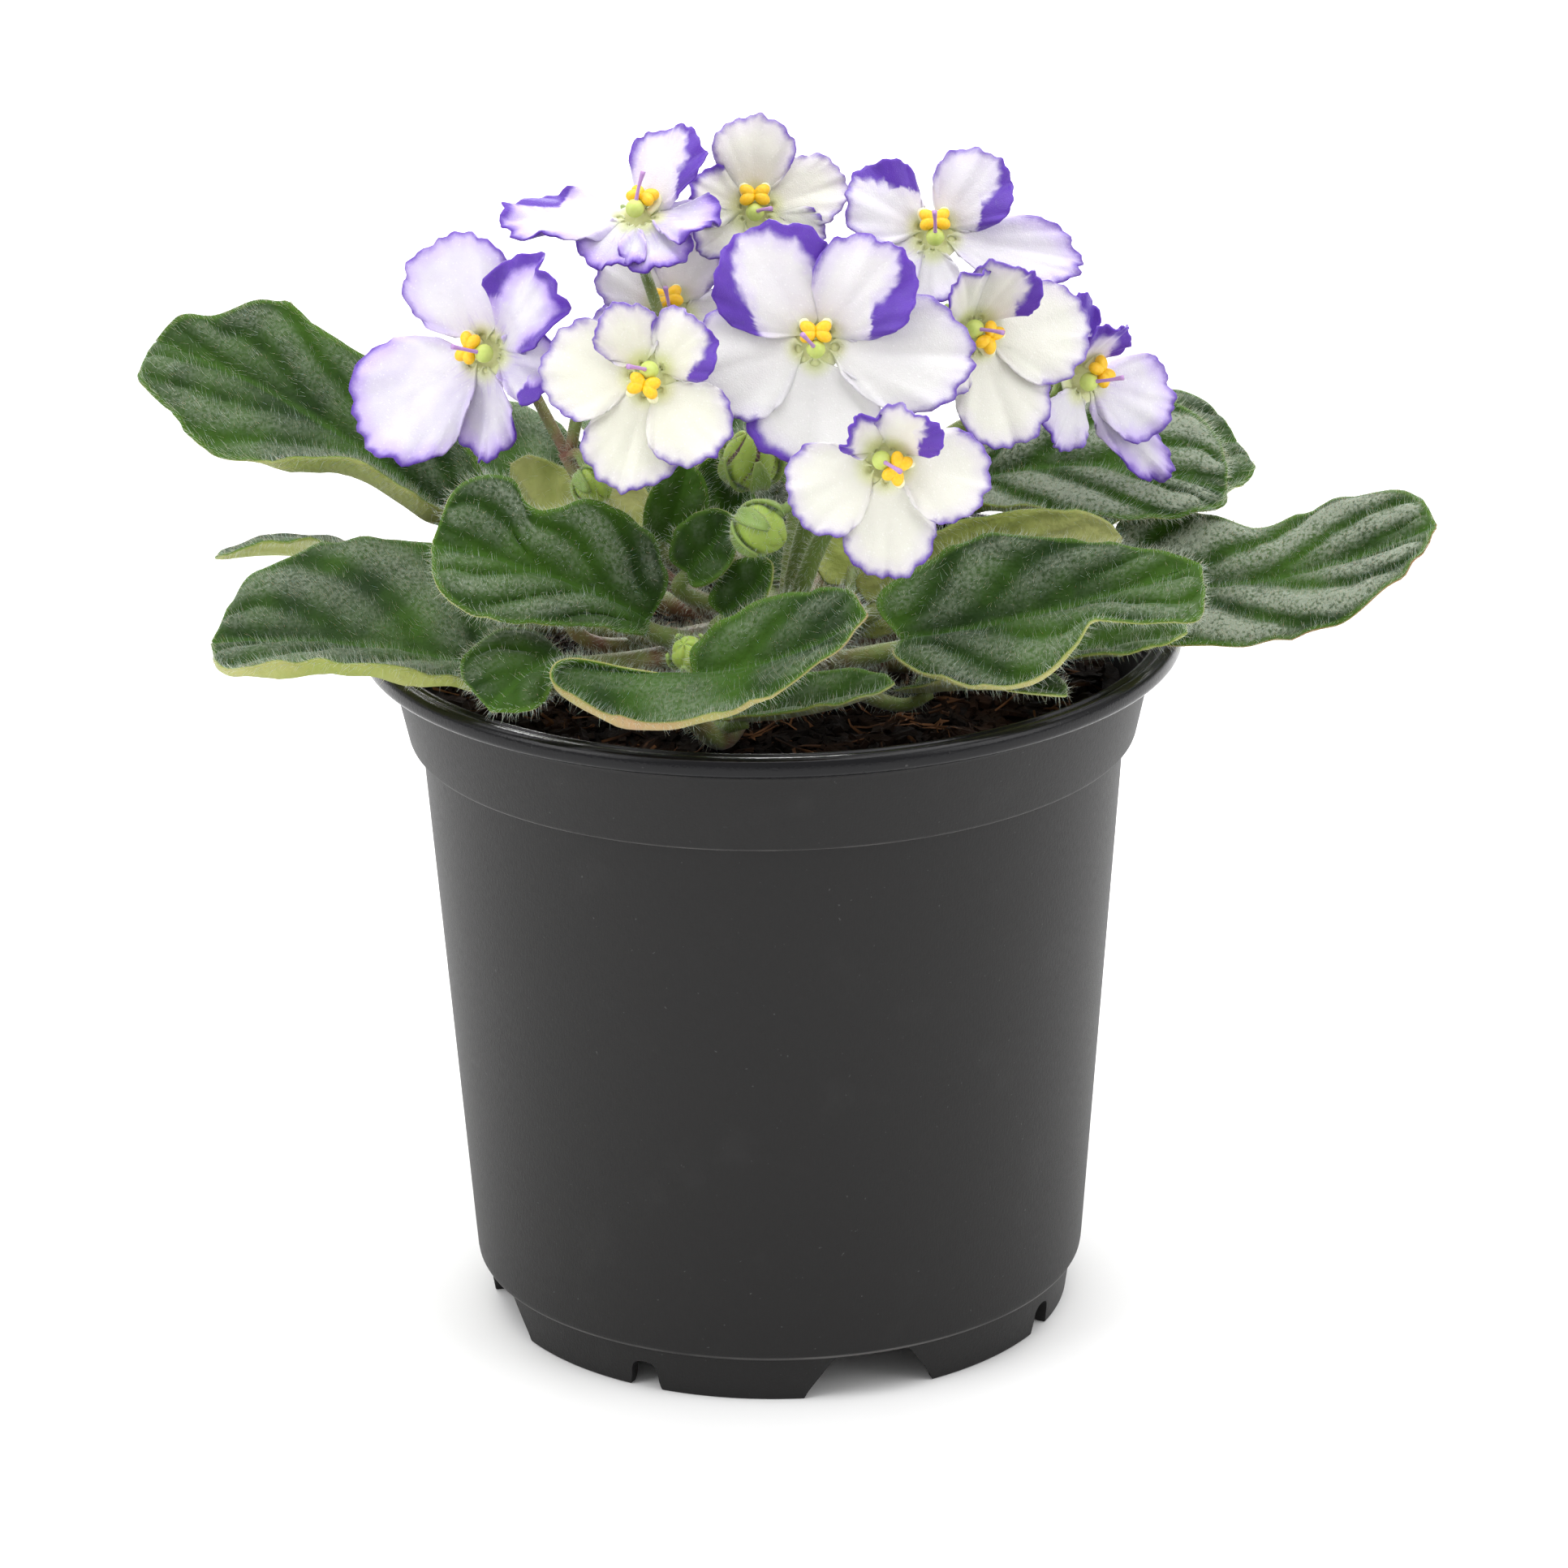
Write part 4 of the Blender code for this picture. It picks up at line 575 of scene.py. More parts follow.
# Blooms. centre is the middle of the throat and face its azimuth, elevation and roll in degrees.
# stamens and style are directions in the bloom's own plane, 0 upwards and 90 to its right.
# Each petal is angle, length, width, lift, curl, cup, twist and ruffle.
BLOOMS = {
    "bloom_01": dict(centre=(-39.7, -15, 150.4), face=(-30, 20, 0), stamens=-80, style=-85, petals=[
        (-25, 15.5, 18, 10, 10, 10, 0, 0.8), (-128, 21, 19, 5, 5, 5, 0, 0.8), (176, 13.5, 10, 0, -10, 10, 0, 0.9),
        (48, 18, 13, 12, 15, 20, 0, 1.6), (95, 11.5, 12, 3, 10, 15, 0, 1.4)]),
    "bloom_02": dict(centre=(-16.6, -30, 151), face=(-5, 25, 0), stamens=195, style=-95, petals=[
        (-85, 13.3, 14.5, 5, 0, 5, 0, 0.5), (-166, 14.5, 14, 0, 0, 5, 0, 0.5), (138, 13, 13, 5, 0, 5, 0, 0.5),
        (-28, 9.5, 9.5, 25, 0, 5, 0, 0.7), (52, 9.5, 11.5, 20, 0, 5, 0, 0.7)]),
    "bloom_03": dict(centre=(6.7, -25, 153.9), face=(0, 22, 0), stamens=0, style=-50, petals=[
        (-33, 17, 18, 8, 10, 8, 0, 0.8), (42, 16, 15.5, 8, 10, 8, 0, 0.8), (97, 20.5, 17, 5, 0, 5, 0, 0.7),
        (-102, 15.5, 17, 5, 0, 5, 0, 0.7), (183, 15.5, 19.5, 5, 0, 5, 0, 0.9)]),
    "bloom_04": dict(centre=(15.9, -45, 142.9), face=(5, 15, 0), stamens=120, style=125, petals=[
        (-112, 13, 13.5, 5, 0, 5, 0, 0.5), (178, 14.5, 13, 0, 0, 5, 0, 0.5), (104, 13, 13.5, 5, 0, 5, 0, 0.6),
        (35, 9, 10, 40, 10, 5, 0, 0.7), (-35, 7, 8, 28, 20, 5, 0, 0.8)]),
    "bloom_05": dict(centre=(29.1, -15, 152.4), face=(22, 20, 0), stamens=130, style=120, petals=[
        (97, 15.5, 15, 5, 0, 5, 0, 0.5), (162, 15.5, 15, 5, 0, 5, 0, 0.6), (30, 10.5, 11, 35, 20, 5, 0, 0.7),
        (-20, 9.5, 9, 40, 10, 5, 0, 0.7), (-130, 9, 9, 5, 0, 5, 0, 0.6)]),
    "bloom_06": dict(centre=(45.1, -3.5, 142.1), face=(38, 10, 0), stamens=60, style=80, petals=[
        (118, 14, 13, 10, 0, 5, 0, 0.7), (142, 20, 8.5, 5, 0, 5, 0, 0.8), (-140, 9.5, 9, 5, 0, 5, 0, 0.6),
        (-18, 12, 10, 10, 0, 5, 0, 0.7), (12, 8, 8, 40, 0, 5, 0, 0.7)]),
    "bloom_07": dict(centre=(24, 5, 161.2), face=(5, 30, 0), stamens=0, style=-10, petals=[
        (-58, 12.5, 13, 10, 0, 8, 0, 0.8), (45, 12, 12.5, 10, 0, 8, 0, 0.8), (104, 20, 11, 0, 0, 5, 0, 0.7),
        (-120, 10, 9, 5, 0, 5, 0, 0.6), (188, 8.5, 9, 5, 0, 5, 0, 0.6)]),
    "bloom_08": dict(centre=(-1.6, 16, 162.2), face=(0, 30, 0), stamens=0, style=110, petals=[
        (0, 11.5, 12, 10, 0, 5, 0, 0.6), (72, 12.3, 11, 5, 0, 5, 0, 0.6), (-75, 8.5, 9.5, 20, 0, 5, 0, 0.8),
        (120, 9.5, 8, 5, 0, 5, 0, 0.6), (-125, 8.5, 8, 5, 0, 5, 0, 0.8)]),
    "bloom_09": dict(centre=(-18.3, 5, 164.4), face=(-10, 72, 0), stamens=20, style=30, petals=[
        (28, 12, 12, 30, 0, 5, 0, 0.7), (-100, 18, 13, 4, 0, 5, 0, 1.0), (95, 10.5, 11, 5, 0, 5, 0, 0.9),
        (150, 9, 11, 0, -20, 5, 0, 0.8), (-155, 9, 11, 0, -15, 5, 0, 0.8)]),
    "bloom_10": dict(centre=(-14.2, 14, 147.4), face=(0, 35, 0), stamens=-10, style=-15, petals=[
        (-48, 11, 11, 12, 0, 5, 0, 0.6), (22, 10, 10.5, 12, 0, 5, 0, 0.6), (95, 9, 9, 5, 0, 5, 0, 0.6),
        (-108, 10, 9, 5, 0, 5, 0, 0.6), (172, 8, 10, 25, 0, 5, 0, 0.6)]),
}

# Flower stalks: route of the shared stalk, then the blooms and buds on its fork
FLOWER_STALKS = [
    dict(route=[(-4, -4, 104), (-14, -16, 116), (-23, -19, 126), (-29, -16, 136)],
         blooms=["bloom_01", "bloom_02"], buds=[((-25, -22, 133), 2.6)]),
    dict(route=[(2, -3, 104), (4, -10, 118), (7, -13, 130), (9, -13, 140)],
         blooms=["bloom_03", "bloom_05"], buds=[((-2.6, -19, 135.2), 4.0)]),
    dict(route=[(3, -5, 104), (4, -22, 116), (7, -28, 126), (11, -33, 134)],
         blooms=["bloom_04"], buds=[((-1.6, -34, 130), 3.5)]),
    dict(route=[(2, 3, 104), (4, 10, 122), (5, 15, 140), (6, 17, 148)],
         blooms=["bloom_07", "bloom_08"], buds=[]),
    dict(route=[(-3, -2, 104), (-8, -6, 122), (-11, -5, 138), (-15, -1, 150)], blooms=["bloom_09"], buds=[]),
    dict(route=[(-1, 3, 104), (-5, 10, 120), (-9, 15, 134)], blooms=["bloom_10"], buds=[]),
    dict(route=[(5, 1, 104), (16, 7, 121), (28, 9, 131), (37, 4, 135)], blooms=["bloom_06"], buds=[]),
]
LOW_BUD = dict(route=[(-2, -6, 103), (-7, -26, 108), (-11, -38, 111)], centre=(-11.5, -40, 113.5), radius=2.6)
CROWN_SHOULDER = 100.0
CROWN_TOP = 107.0
PETIOLE_RADIUS = 1.6
PETIOLE_TAPER = 0.7
PEDUNCLE_RADIUS = 1.15
PEDICEL_RADIUS = 0.8
CALYX_LENGTH = 2.2
BLADE = 0.8


def unit(vector):
    vector = np.asarray(vector, float)
    return vector / np.linalg.norm(vector, axis=-1, keepdims=True)


def smooth_curve(points, count, ends=(0.0, 1.0)):
    """A smooth curve through the points, read at even steps of its own parameter."""
    points = np.asarray(points, float)
    knots = np.concatenate([[0.0], np.cumsum(np.linalg.norm(np.diff(points, axis=0), axis=1) ** 0.5)])
    slopes = np.gradient(points, knots, axis=0, edge_order=1)
    wanted = np.linspace(ends[0], ends[1], count) * knots[-1]
    span = np.clip(np.searchsorted(knots, wanted, side="right") - 1, 0, len(knots) - 2)
    step = (knots[span + 1] - knots[span])[:, None]
    t = (wanted - knots[span])[:, None] / step
    return ((2 * t ** 3 - 3 * t ** 2 + 1) * points[span] + (t ** 3 - 2 * t ** 2 + t) * step * slopes[span]
            + (3 * t ** 2 - 2 * t ** 3) * points[span + 1] + (t ** 3 - t ** 2) * step * slopes[span + 1])


def tube_faces(rings, sides):
    """Faces of a tube of rings, with a cap at each end."""
    faces = [tuple(range(sides))[::-1], tuple((rings - 1) * sides + k for k in range(sides))]
    for i in range(rings - 1):
        a, b = i * sides, (i + 1) * sides
        faces += [(a + k, a + (k + 1) % sides, b + (k + 1) % sides, b + k) for k in range(sides)]
    return faces


def stalk(points, radii, count, sides=10, blush=(0.5, 0.5), ribs=0.05):
    """A round, slightly ribbed stalk with closed ends. blush is its redness from foot to head."""
    route = smooth_curve(points, count)
    ahead = unit(np.gradient(route, axis=0))
    share = np.linspace(0, 1, count)
    thick = np.interp(share, np.linspace(0, 1, len(radii)), radii)
    side = unit(np.cross(ahead[0], (0.3, 0.5, 0.8)))
    turn = np.linspace(0, 2 * math.pi, sides, endpoint=False)
    rings = []
    for k in range(count):
        side = unit(side - ahead[k] * np.dot(side, ahead[k]))
        across = np.cross(ahead[k], side)
        radius = thick[k] * (1 + ribs * np.cos(2 * turn + 0.8 * math.sin(5 * share[k])))
        rings.append(route[k] + radius[:, None] * (np.cos(turn)[:, None] * side + np.sin(turn)[:, None] * across))
    redness = np.repeat(np.interp(share, np.linspace(0, 1, len(blush)), blush), sides)
    return {"points": np.concatenate(rings), "faces": tube_faces(count, sides), "fields": {"blush": redness}}


def sheet(grid, thickness, fields):
    """A closed thin sheet on a grid of points. Its upper face looks along across x ahead."""
    rows, columns = grid.shape[:2]
    ahead, across = np.gradient(grid, axis=0), np.gradient(grid, axis=1)
    normal = unit(np.cross(across, ahead))
    half = np.broadcast_to(np.asarray(thickness, float) / 2, (rows, columns))[..., None]
    points = np.concatenate([(grid + normal * half).reshape(-1, 3), (grid - normal * half).reshape(-1, 3)])
    count = rows * columns
    index = np.arange(count).reshape(rows, columns)
    a, b, c, d = index[:-1, :-1].ravel(), index[:-1, 1:].ravel(), index[1:, 1:].ravel(), index[1:, :-1].ravel()
    rim = np.concatenate([index[0], index[1:, -1], index[-1, -2::-1], index[-2:0:-1, 0]])
    after = np.roll(rim, -1)
    faces = np.concatenate([np.stack([a, b, c, d], 1), np.stack([d, c, b, a], 1) + count,
                            np.stack([rim + count, after + count, after, rim], 1)])
    held = {key: np.tile(np.broadcast_to(value, (rows, columns)).ravel(), 2) for key, value in fields.items()}
    held["under"] = np.concatenate([np.zeros(count), np.ones(count)])
    return {"points": points, "faces": faces.tolist(), "fields": held}


def joined(name, parts, materials):
    """One piece from several closed parts, which share the fields of them all."""
    keys = sorted({key for part in parts for key in part["fields"]})
    points, faces, start = [], [], 0
    values = {key: [] for key in keys}
    for part in parts:
        size = len(part["points"])
        points.append(part["points"])
        faces += [tuple(i + start for i in face) for face in part["faces"]]
        for key in keys:
            values[key].append(part["fields"].get(key, np.zeros(size)))
        start += size
    values = {key: np.concatenate(value) for key, value in values.items()}
    return mesh_piece(name, np.concatenate(points), faces, values, materials)


def petiole_radius(leaf):
    return PETIOLE_RADIUS * (0.75 if leaf.get("width", 20) < 8 else 1.0)


def petiole_route(leaf):
    """From inside the crown, past the leaf's via point, to just under the blade's base."""
    base, tip, via = (np.array(leaf[key], float) for key in ("base", "tip", "via"))
    ahead = unit(tip - base)
    up = np.array(leaf["up"], float)
    up = unit(up - ahead * np.dot(up, ahead))
    along = unit(ahead + 4 * leaf["arch"] * up)
    under = unit(up - along * np.dot(up, along))
    end = base + 2.4 * along - (BLADE / 2 + petiole_radius(leaf) * PETIOLE_TAPER - 0.25) * under
    start = np.array((0, 0, min(max(via[2] - 3, CROWN_SHOULDER + 0.5), CROWN_TOP - 2)))
    start[:2] = unit(via[:2]) * 4.5
    approach = end - 4.6 * along - 0.8 * under
    return [start, via, approach, end]


def bloom_frame(face):
    """Right, up and facing directions of a bloom. Azimuth 0 looks to the front and 90 to +X."""
    azimuth, elevation, roll = (math.radians(angle) for angle in face)
    facing = np.array((math.sin(azimuth) * math.cos(elevation), -math.cos(azimuth) * math.cos(elevation),
                       math.sin(elevation)))
    right = unit(np.cross((0.0, 0.0, 1.0), facing))
    up = np.cross(facing, right)
    return (right * math.cos(roll) - up * math.sin(roll), right * math.sin(roll) + up * math.cos(roll), facing)


def in_plane(bloom, angle):
    """The direction at an angle in the bloom's own plane, and the direction a quarter turn on."""
    right, up, _ = bloom_frame(bloom["face"])
    turn = math.radians(angle)
    return math.sin(turn) * right + math.cos(turn) * up, math.cos(turn) * right - math.sin(turn) * up


def sepal(foot, outward, facing, length, width, spread_out, curl):
    """One narrow green lobe of a calyx, from its foot out and round what it holds."""
    s = np.linspace(0, 1, 7)[:, None]
    t = np.linspace(-1, 1, 5)[None]
    beside = np.cross(facing, outward)
    heading = spread_out + curl * s
    out = length * (math.cos(spread_out) - np.cos(heading)) / curl
    on = length * (np.sin(heading) - math.sin(spread_out)) / curl
    half = width / 2 * np.sin(math.pi * (0.12 + 0.83 * s)) ** 0.8
    line = foot + out[..., None] * outward + on[..., None] * facing
    keel = -0.35 * (t ** 2) * half
    normal = np.cos(heading)[..., None] * outward - np.sin(heading)[..., None] * facing
    grid = line + (t * half)[..., None] * beside - keel[..., None] * normal
    return sheet(grid[:, ::-1], 0.45, {"blush": np.full((7, 5), 0.15), "hairy": np.full((7, 5), 1.0)})


def calyx(bloom):
    """The small green cup behind a bloom, with its five lobes."""
    _, _, facing = bloom_frame(bloom["face"])
    front = np.array(bloom["centre"], float) - 2.1 * facing
    back = front - (CALYX_LENGTH + 0.2) * facing
    parts = [stalk([back - 0.6 * facing, back + 0.5 * facing, front], [0.8, 1.5, 2.2], 6, 10, (0.2, 0.1), 0.0)]
    for number in range(5):
        outward, _ = in_plane(bloom, 36 + 72 * number)
        foot = back + 0.9 * facing + 1.0 * outward
        parts.append(sepal(foot, outward, facing, 5.4, 1.9, math.radians(38), math.radians(45)))
    return parts


def bud(centre, radius, axis, opening, seed):
    """A closed bud: overlapping petals twisted to a blunt point, held by five lobes."""
    centre, axis = np.array(centre, float), unit(axis)
    side = unit(np.cross(axis, (0.4, 0.9, 0.2)))
    across = np.cross(axis, side)
    rows, sides = 22, 60
    polar = np.linspace(0.02, math.pi - 0.02, rows)[:, None]
    turn = np.linspace(0, 2 * math.pi, sides, endpoint=False)[None]
    fold = (turn + 0.9 * (1 - np.cos(polar)) + seed) * 2.5
    crease = np.abs(np.sin(fold)) ** 0.35
    bulge = radius * (0.84 + 0.16 * crease) * (1 + 0.12 * np.cos(polar) ** 3)
    ring = bulge * np.sin(polar)
    points = (centre + (ring * np.cos(turn))[..., None] * side + (ring * np.sin(turn))[..., None] * across
              + (bulge * 1.08 * np.cos(polar) * np.ones_like(turn))[..., None] * axis).reshape(-1, 3)
    faces = [face[:1] + face[:0:-1] for face in tube_faces(rows, sides)]
    seam = opening * np.clip(1.6 - 2.0 * crease, 0, 1) * np.clip(0.75 + 0.6 * np.cos(polar), 0, 1)
    fields = {"blush": np.zeros(rows * sides), "seam": seam.ravel(), "bud": np.ones(rows * sides)}
    parts = [{"points": points, "faces": faces, "fields": fields}]
    for number in range(5):
        angle = 2 * math.pi * number / 5 + seed
        outward = math.cos(angle) * side + math.sin(angle) * across
        foot = centre - radius * 0.98 * axis + 0.35 * radius * outward
        parts.append(sepal(foot, outward, axis, 1.9 * radius, 0.75 * radius, math.radians(62), math.radians(-75)))
    return parts


BUD_AXES = (((0.6, -0.5, -0.5), 0.6), ((-0.1, -0.3, 0.95), 1.0), ((0.8, -0.35, -0.4), 0.15))
number_of_buds = 0
stalk_parts = []
crown_profile = rounded([(0, 84.0, 0), (CROWN_RADIUS, 84.0, 0.5), (CROWN_RADIUS, CROWN_SHOULDER, 3.0),
                         (4.6, 104.6, 2.0), (0, CROWN_TOP, 0)])[::-1]
crown_points, crown_faces = turned_shell(crown_profile, 24)
stalk_parts.append({"points": crown_points, "faces": crown_faces,
                    "fields": {"blush": np.full(len(crown_points), 0.5)}})
for name, leaf in LEAVES.items():
    thick = petiole_radius(leaf)
    stalk_parts.append(stalk(petiole_route(leaf), [1.2 * thick, 1.05 * thick, thick, 0.7 * thick], 22, 12,
                             (0.85, 0.75, 0.5, 0.35), 0.08))
for number, flower_stalk in enumerate(FLOWER_STALKS):
    redness = (0.75, 0.15, 0.2, 0.35, 0.55, 0.5, 0.6)[number]
    stalk_parts.append(stalk(flower_stalk["route"], [1.2 * PEDUNCLE_RADIUS, PEDUNCLE_RADIUS], 26, 10,
                             (redness, redness)))
    fork, before = (np.array(flower_stalk["route"][k], float) for k in (-1, -2))
    rise = unit(fork - before)
    for name in flower_stalk["blooms"]:
        facing = bloom_frame(BLOOMS[name]["face"])[2]
        back = np.array(BLOOMS[name]["centre"], float) - (CALYX_LENGTH + 2.3) * facing
        reach = np.linalg.norm(back - fork)
        bend, turn = fork + rise * 0.35 * reach, back - facing * 0.3 * reach
        route = [fork - rise, bend * 0.6 + turn * 0.4, turn * 0.75 + bend * 0.25, back + facing * 0.8]
        stalk_parts.append(stalk(route, [1.1 * PEDICEL_RADIUS, PEDICEL_RADIUS], 16, 8, (redness, 0.15)))
        stalk_parts += calyx(BLOOMS[name])
    for centre, radius in flower_stalk["buds"]:
        centre = np.array(centre, float)
        middle = (fork + centre) / 2 + np.array((0, 0, 2.0))
        stalk_parts.append(stalk([fork - rise, middle, centre], [PEDICEL_RADIUS], 12, 8, (redness, 0.1)))
        stalk_parts += bud(centre, radius, *BUD_AXES[number_of_buds], number)
        number_of_buds += 1
stalk_parts.append(stalk(LOW_BUD["route"] + [LOW_BUD["centre"]], [PEDICEL_RADIUS * 1.2, PEDICEL_RADIUS], 16, 8,
                         (0.3, 0.1)))
stalk_parts += bud(LOW_BUD["centre"], LOW_BUD["radius"], (-0.2, -0.5, 0.6), 0.2, 3)

stalk_skin = new_material("stalk_skin", Roughness=0.5, Subsurface_Weight=0.15, Subsurface_Scale=0.002,
                          Sheen_Weight=0.15, Sheen_Roughness=0.5)
blush_share = field(stalk_skin, "blush")
patches = arithmetic(stalk_skin, "MULTIPLY", blush_share, noise(stalk_skin, 190, 4.0))
stalk_colour = mixed(stalk_skin, spread(stalk_skin, patches, 0.12, 0.5), (0.150, 0.225, 0.045, 1),
                     (0.155, 0.065, 0.035, 1))
bud_colour = mixed(stalk_skin, noise(stalk_skin, 260, 3.0), (0.21, 0.34, 0.03, 1), (0.37, 0.48, 0.08, 1))
bud_colour = mixed(stalk_skin, spread(stalk_skin, field(stalk_skin, "seam"), 0.25, 0.6), bud_colour,
                   (0.09, 0.03, 0.05, 1))
stalk_colour = mixed(stalk_skin, field(stalk_skin, "bud"), stalk_colour, bud_colour)
stalk_colour = mixed(stalk_skin, arithmetic(stalk_skin, "MULTIPLY", field(stalk_skin, "hairy"), 0.7), stalk_colour,
                     (0.22, 0.34, 0.07, 1))
skin_relief = relief(stalk_skin, noise(stalk_skin, 1500, 3.0), 0.0002, 0.6)
finish_with(stalk_skin, Base_Color=stalk_colour, Normal=skin_relief)
crown_and_stalks = joined("crown_stalks_and_buds", stalk_parts, [stalk_skin])
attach(crown_and_stalks, "root")
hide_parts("crown_and_stalks")

# The leaf blades.
# Each is a thick, soft blade that bulges between its veins, with a scalloped edge. It's deep green above with a
# painted silvery sheen on the bulges, and pale yellow-green with a pink flush below.
SHOWN_LEAVES = ["leaf_%02d" % number for number in range(1, 10)]
# Where a rim is turned up so that its pale underside shows: the side, where along the blade it
# starts, stands highest and ends, and how high it stands.
TURNED_RIMS = {"leaf_01": ("left", 0.0, 0.12, 0.45, 7.0), "leaf_02": ("left", 0.02, 0.55, 0.93, 2.6),
               "leaf_05": ("right", 0.05, 0.35, 0.75, 2.4), "leaf_06": ("right", 0.05, 0.30, 0.62, 1.0),
               "leaf_08": ("right", 0.02, 0.15, 0.45, 2.4)}
NO_TURNED_RIM = ("", 0, 0, 1, 0)
RIM_SHARE = 0.16


def edge_stations(leaf, side):
    """The leaf's own stations, or a plain heart shape of the stated width and cup."""
    if side in leaf:
        return leaf[side]
    width, cup = leaf["width"], leaf["cup"]
    return [(-0.04, 0.55 * width, 0.5 * cup), (0.12, 0.85 * width, 0.8 * cup), (0.38, width, cup),
            (0.68, 0.88 * width, 0.7 * cup), (0.92, 0.5 * width, 0.2 * cup)]


def leaf_blade(leaf, rows, columns, seed, flush, sheen_strength, turned=NO_TURNED_RIM):
    """A closed blade. Rows run from base to tip and columns from the left edge to the right."""
    grain = np.random.default_rng(seed)
    base, tip = np.array(leaf["base"], float), np.array(leaf["tip"], float)
    length = np.linalg.norm(tip - base)
    ahead = unit(tip - base)
    up = np.array(leaf["up"], float)
    up = unit(up - ahead * np.dot(up, ahead))
    ends = (0.008, 0.992)
    middle = np.linspace(*ends, rows)
    veins = 3.7 if length > 30 else 3.0
    half_grids, held = [], []
    for sign, name in ((1, "left"), (-1, "right")):
        stations = [(0.0, 0.0, 0.0)] + edge_stations(leaf, name) + [(1.0, 0.0, 0.0)]
        scale = np.array((length, 1.0, 1.0))
        edge = smooth_curve(np.array(stations, float) * scale, rows, ends) / scale
        around = np.concatenate([[0.0], np.cumsum(np.linalg.norm(np.diff(edge * scale, axis=0), axis=1))])
        start = middle[:, None]
        rim_side, rim_start, rim_peak, rim_end, rim_height = turned
        stands = np.clip(np.minimum((start - rim_start) / max(rim_peak - rim_start, 0.01),
                                    (rim_end - start) / max(rim_end - rim_peak, 0.01)), 0, 1) * (rim_side == name)
        stands = np.sin(stands * math.pi / 2) ** 0.8
        across = (np.linspace(0, 1, columns + 1) ** 0.85)[None]
        hinge = 1 - RIM_SHARE * np.clip(stands * 3, 0, 1)
        w = np.minimum(across / hinge, 1)
        rim = np.clip((across - hinge) / np.maximum(1 - hinge, 1e-3), 0, 1) * stands * rim_height
        out = np.abs(edge[:, 1:2])
        share = start + (edge[:, 0:1] - start) * w ** 1.15
        slope = 4 * (1 - 2 * np.clip(share, 0, 1))[..., None]
        along = unit(ahead + slope * leaf["arch"] * up)
        side = unit(np.cross(up, along))
        normal = np.cross(along, side)
        midrib = base + length * (share[..., None] * ahead + (4 * share * (1 - share))[..., None] * leaf["arch"] * up)
        margin = (1 - w) * out + stands * rim_height - rim
        far = np.clip(out / 7.0, 0, 1)
        phase = math.pi * (veins * (start * 0.96 - 0.50 * w ** 0.9 * far) + grain.uniform(0, 0.6))
        puff = np.abs(np.sin(phase)) ** 0.8
        body = np.clip(np.minimum(w * out / 2.5, 1.0), 0, 1) * np.clip(margin / 2.0, 0.25, 1)
        lift = (1.25 if length > 30 else 0.8) * far * (puff - 0.5) * body
        lift -= 0.55 * np.exp(-(w * out / 1.3) ** 2) * np.sin(math.pi * middle)[:, None] ** 0.3
        lift += 0.22 * np.sin(0.9 * around[:, None] + 2.0 * sign) * np.sin(0.75 * w * out + 1.0) * body
        along_edge = around[:, None] + 1.7 * np.sin(around[:, None] * 0.31 + grain.uniform(0, 6))
        wave = np.clip(1 - margin / 3.5, 0, 1) ** 2 * far
        lift += 0.35 * wave * np.sin(along_edge * 2 * math.pi / 8.7 + grain.uniform(0, 6))
        scallop = 0.24 * np.clip(1 - margin / 1.6, 0, 1) * far * (
            np.abs(np.sin(along_edge * math.pi / 4.6 + grain.uniform(0, 3))) ** 0.7 - 0.6)
        outward = out * w + scallop
        rise = edge[:, 2:3] * w ** 1.6 + 0.06 * out * np.sin(math.pi * w) + lift
        half_grids.append(midrib + side * (sign * (outward + 0.22 * rim))[..., None]
                          + normal * (rise + rim)[..., None])
        # Painted sheen: a share of silvery colour on the crests of the bulges stands in for light that the hairs
        # catch there.
        silver = sheen_strength * np.clip(puff * 2.2 - 1.1, 0, 1) * body * far * np.clip(0.25 + 1.1 * w, 0, 1)
        held.append((silver, margin, np.exp(-(w * out / 1.1) ** 2)))
    fields = [np.concatenate([left[:, ::-1], right[:, 1:]], axis=1) for left, right in zip(*held)]
    grid = np.concatenate([half_grids[0][:, ::-1], half_grids[1][:, 1:]], axis=1)
    thickness = 0.34 + 0.5 * np.clip(fields[1] / 2.5, 0, 1) ** 0.7
    return sheet(grid, thickness, {"silver": fields[0], "margin": fields[1], "midrib": fields[2],
                                   "flush": np.full(grid.shape[:2], flush)})


def skin_cells(material, scale):
    """The plant's own cells, as small domes on its skin."""
    place = add_node(material, "ShaderNodeTexCoord").outputs["Object"]
    return add_node(material, "ShaderNodeTexVoronoi", {"Vector": place, "Scale": scale})


leaf_skin = new_material("leaf_skin", Roughness=0.66, Specular_IOR_Level=0.15, Sheen_Roughness=0.38,
                         Sheen_Tint=(0.82, 0.88, 0.84, 1), Sheen_Weight=0.14, Subsurface_Weight=0.06,
                         Subsurface_Scale=0.001)
down = noise(leaf_skin, 1900, 3.0, roughness=0.6)
mottle = noise(leaf_skin, 75, 4.0)
leaf_green = mixed(leaf_skin, spread(leaf_skin, mottle, 0.3, 0.7), (0.007, 0.026, 0.001, 1), (0.028, 0.078, 0.002, 1))
leaf_green = mixed(leaf_skin, spread(leaf_skin, field(leaf_skin, "midrib"), 0.3, 1.0, 0.0, 0.5), leaf_green,
                   (0.038, 0.105, 0.006, 1))
# Painted sheen: the silvery grey-green mixed in on the crests stands in for light that the hairs catch at grazing
# angles.
painted_sheen_share = arithmetic(leaf_skin, "MULTIPLY", field(leaf_skin, "silver"),
                         spread(leaf_skin, down, 0.30, 0.70, 0.10, 1.0))
leaf_green = mixed(leaf_skin, painted_sheen_share, leaf_green, (0.235, 0.270, 0.205, 1))
rim_light = spread(leaf_skin, field(leaf_skin, "margin"), 0.15, 0.9, 0.5, 0.0)
leaf_green = mixed(leaf_skin, rim_light, leaf_green, (0.095, 0.195, 0.022, 1))
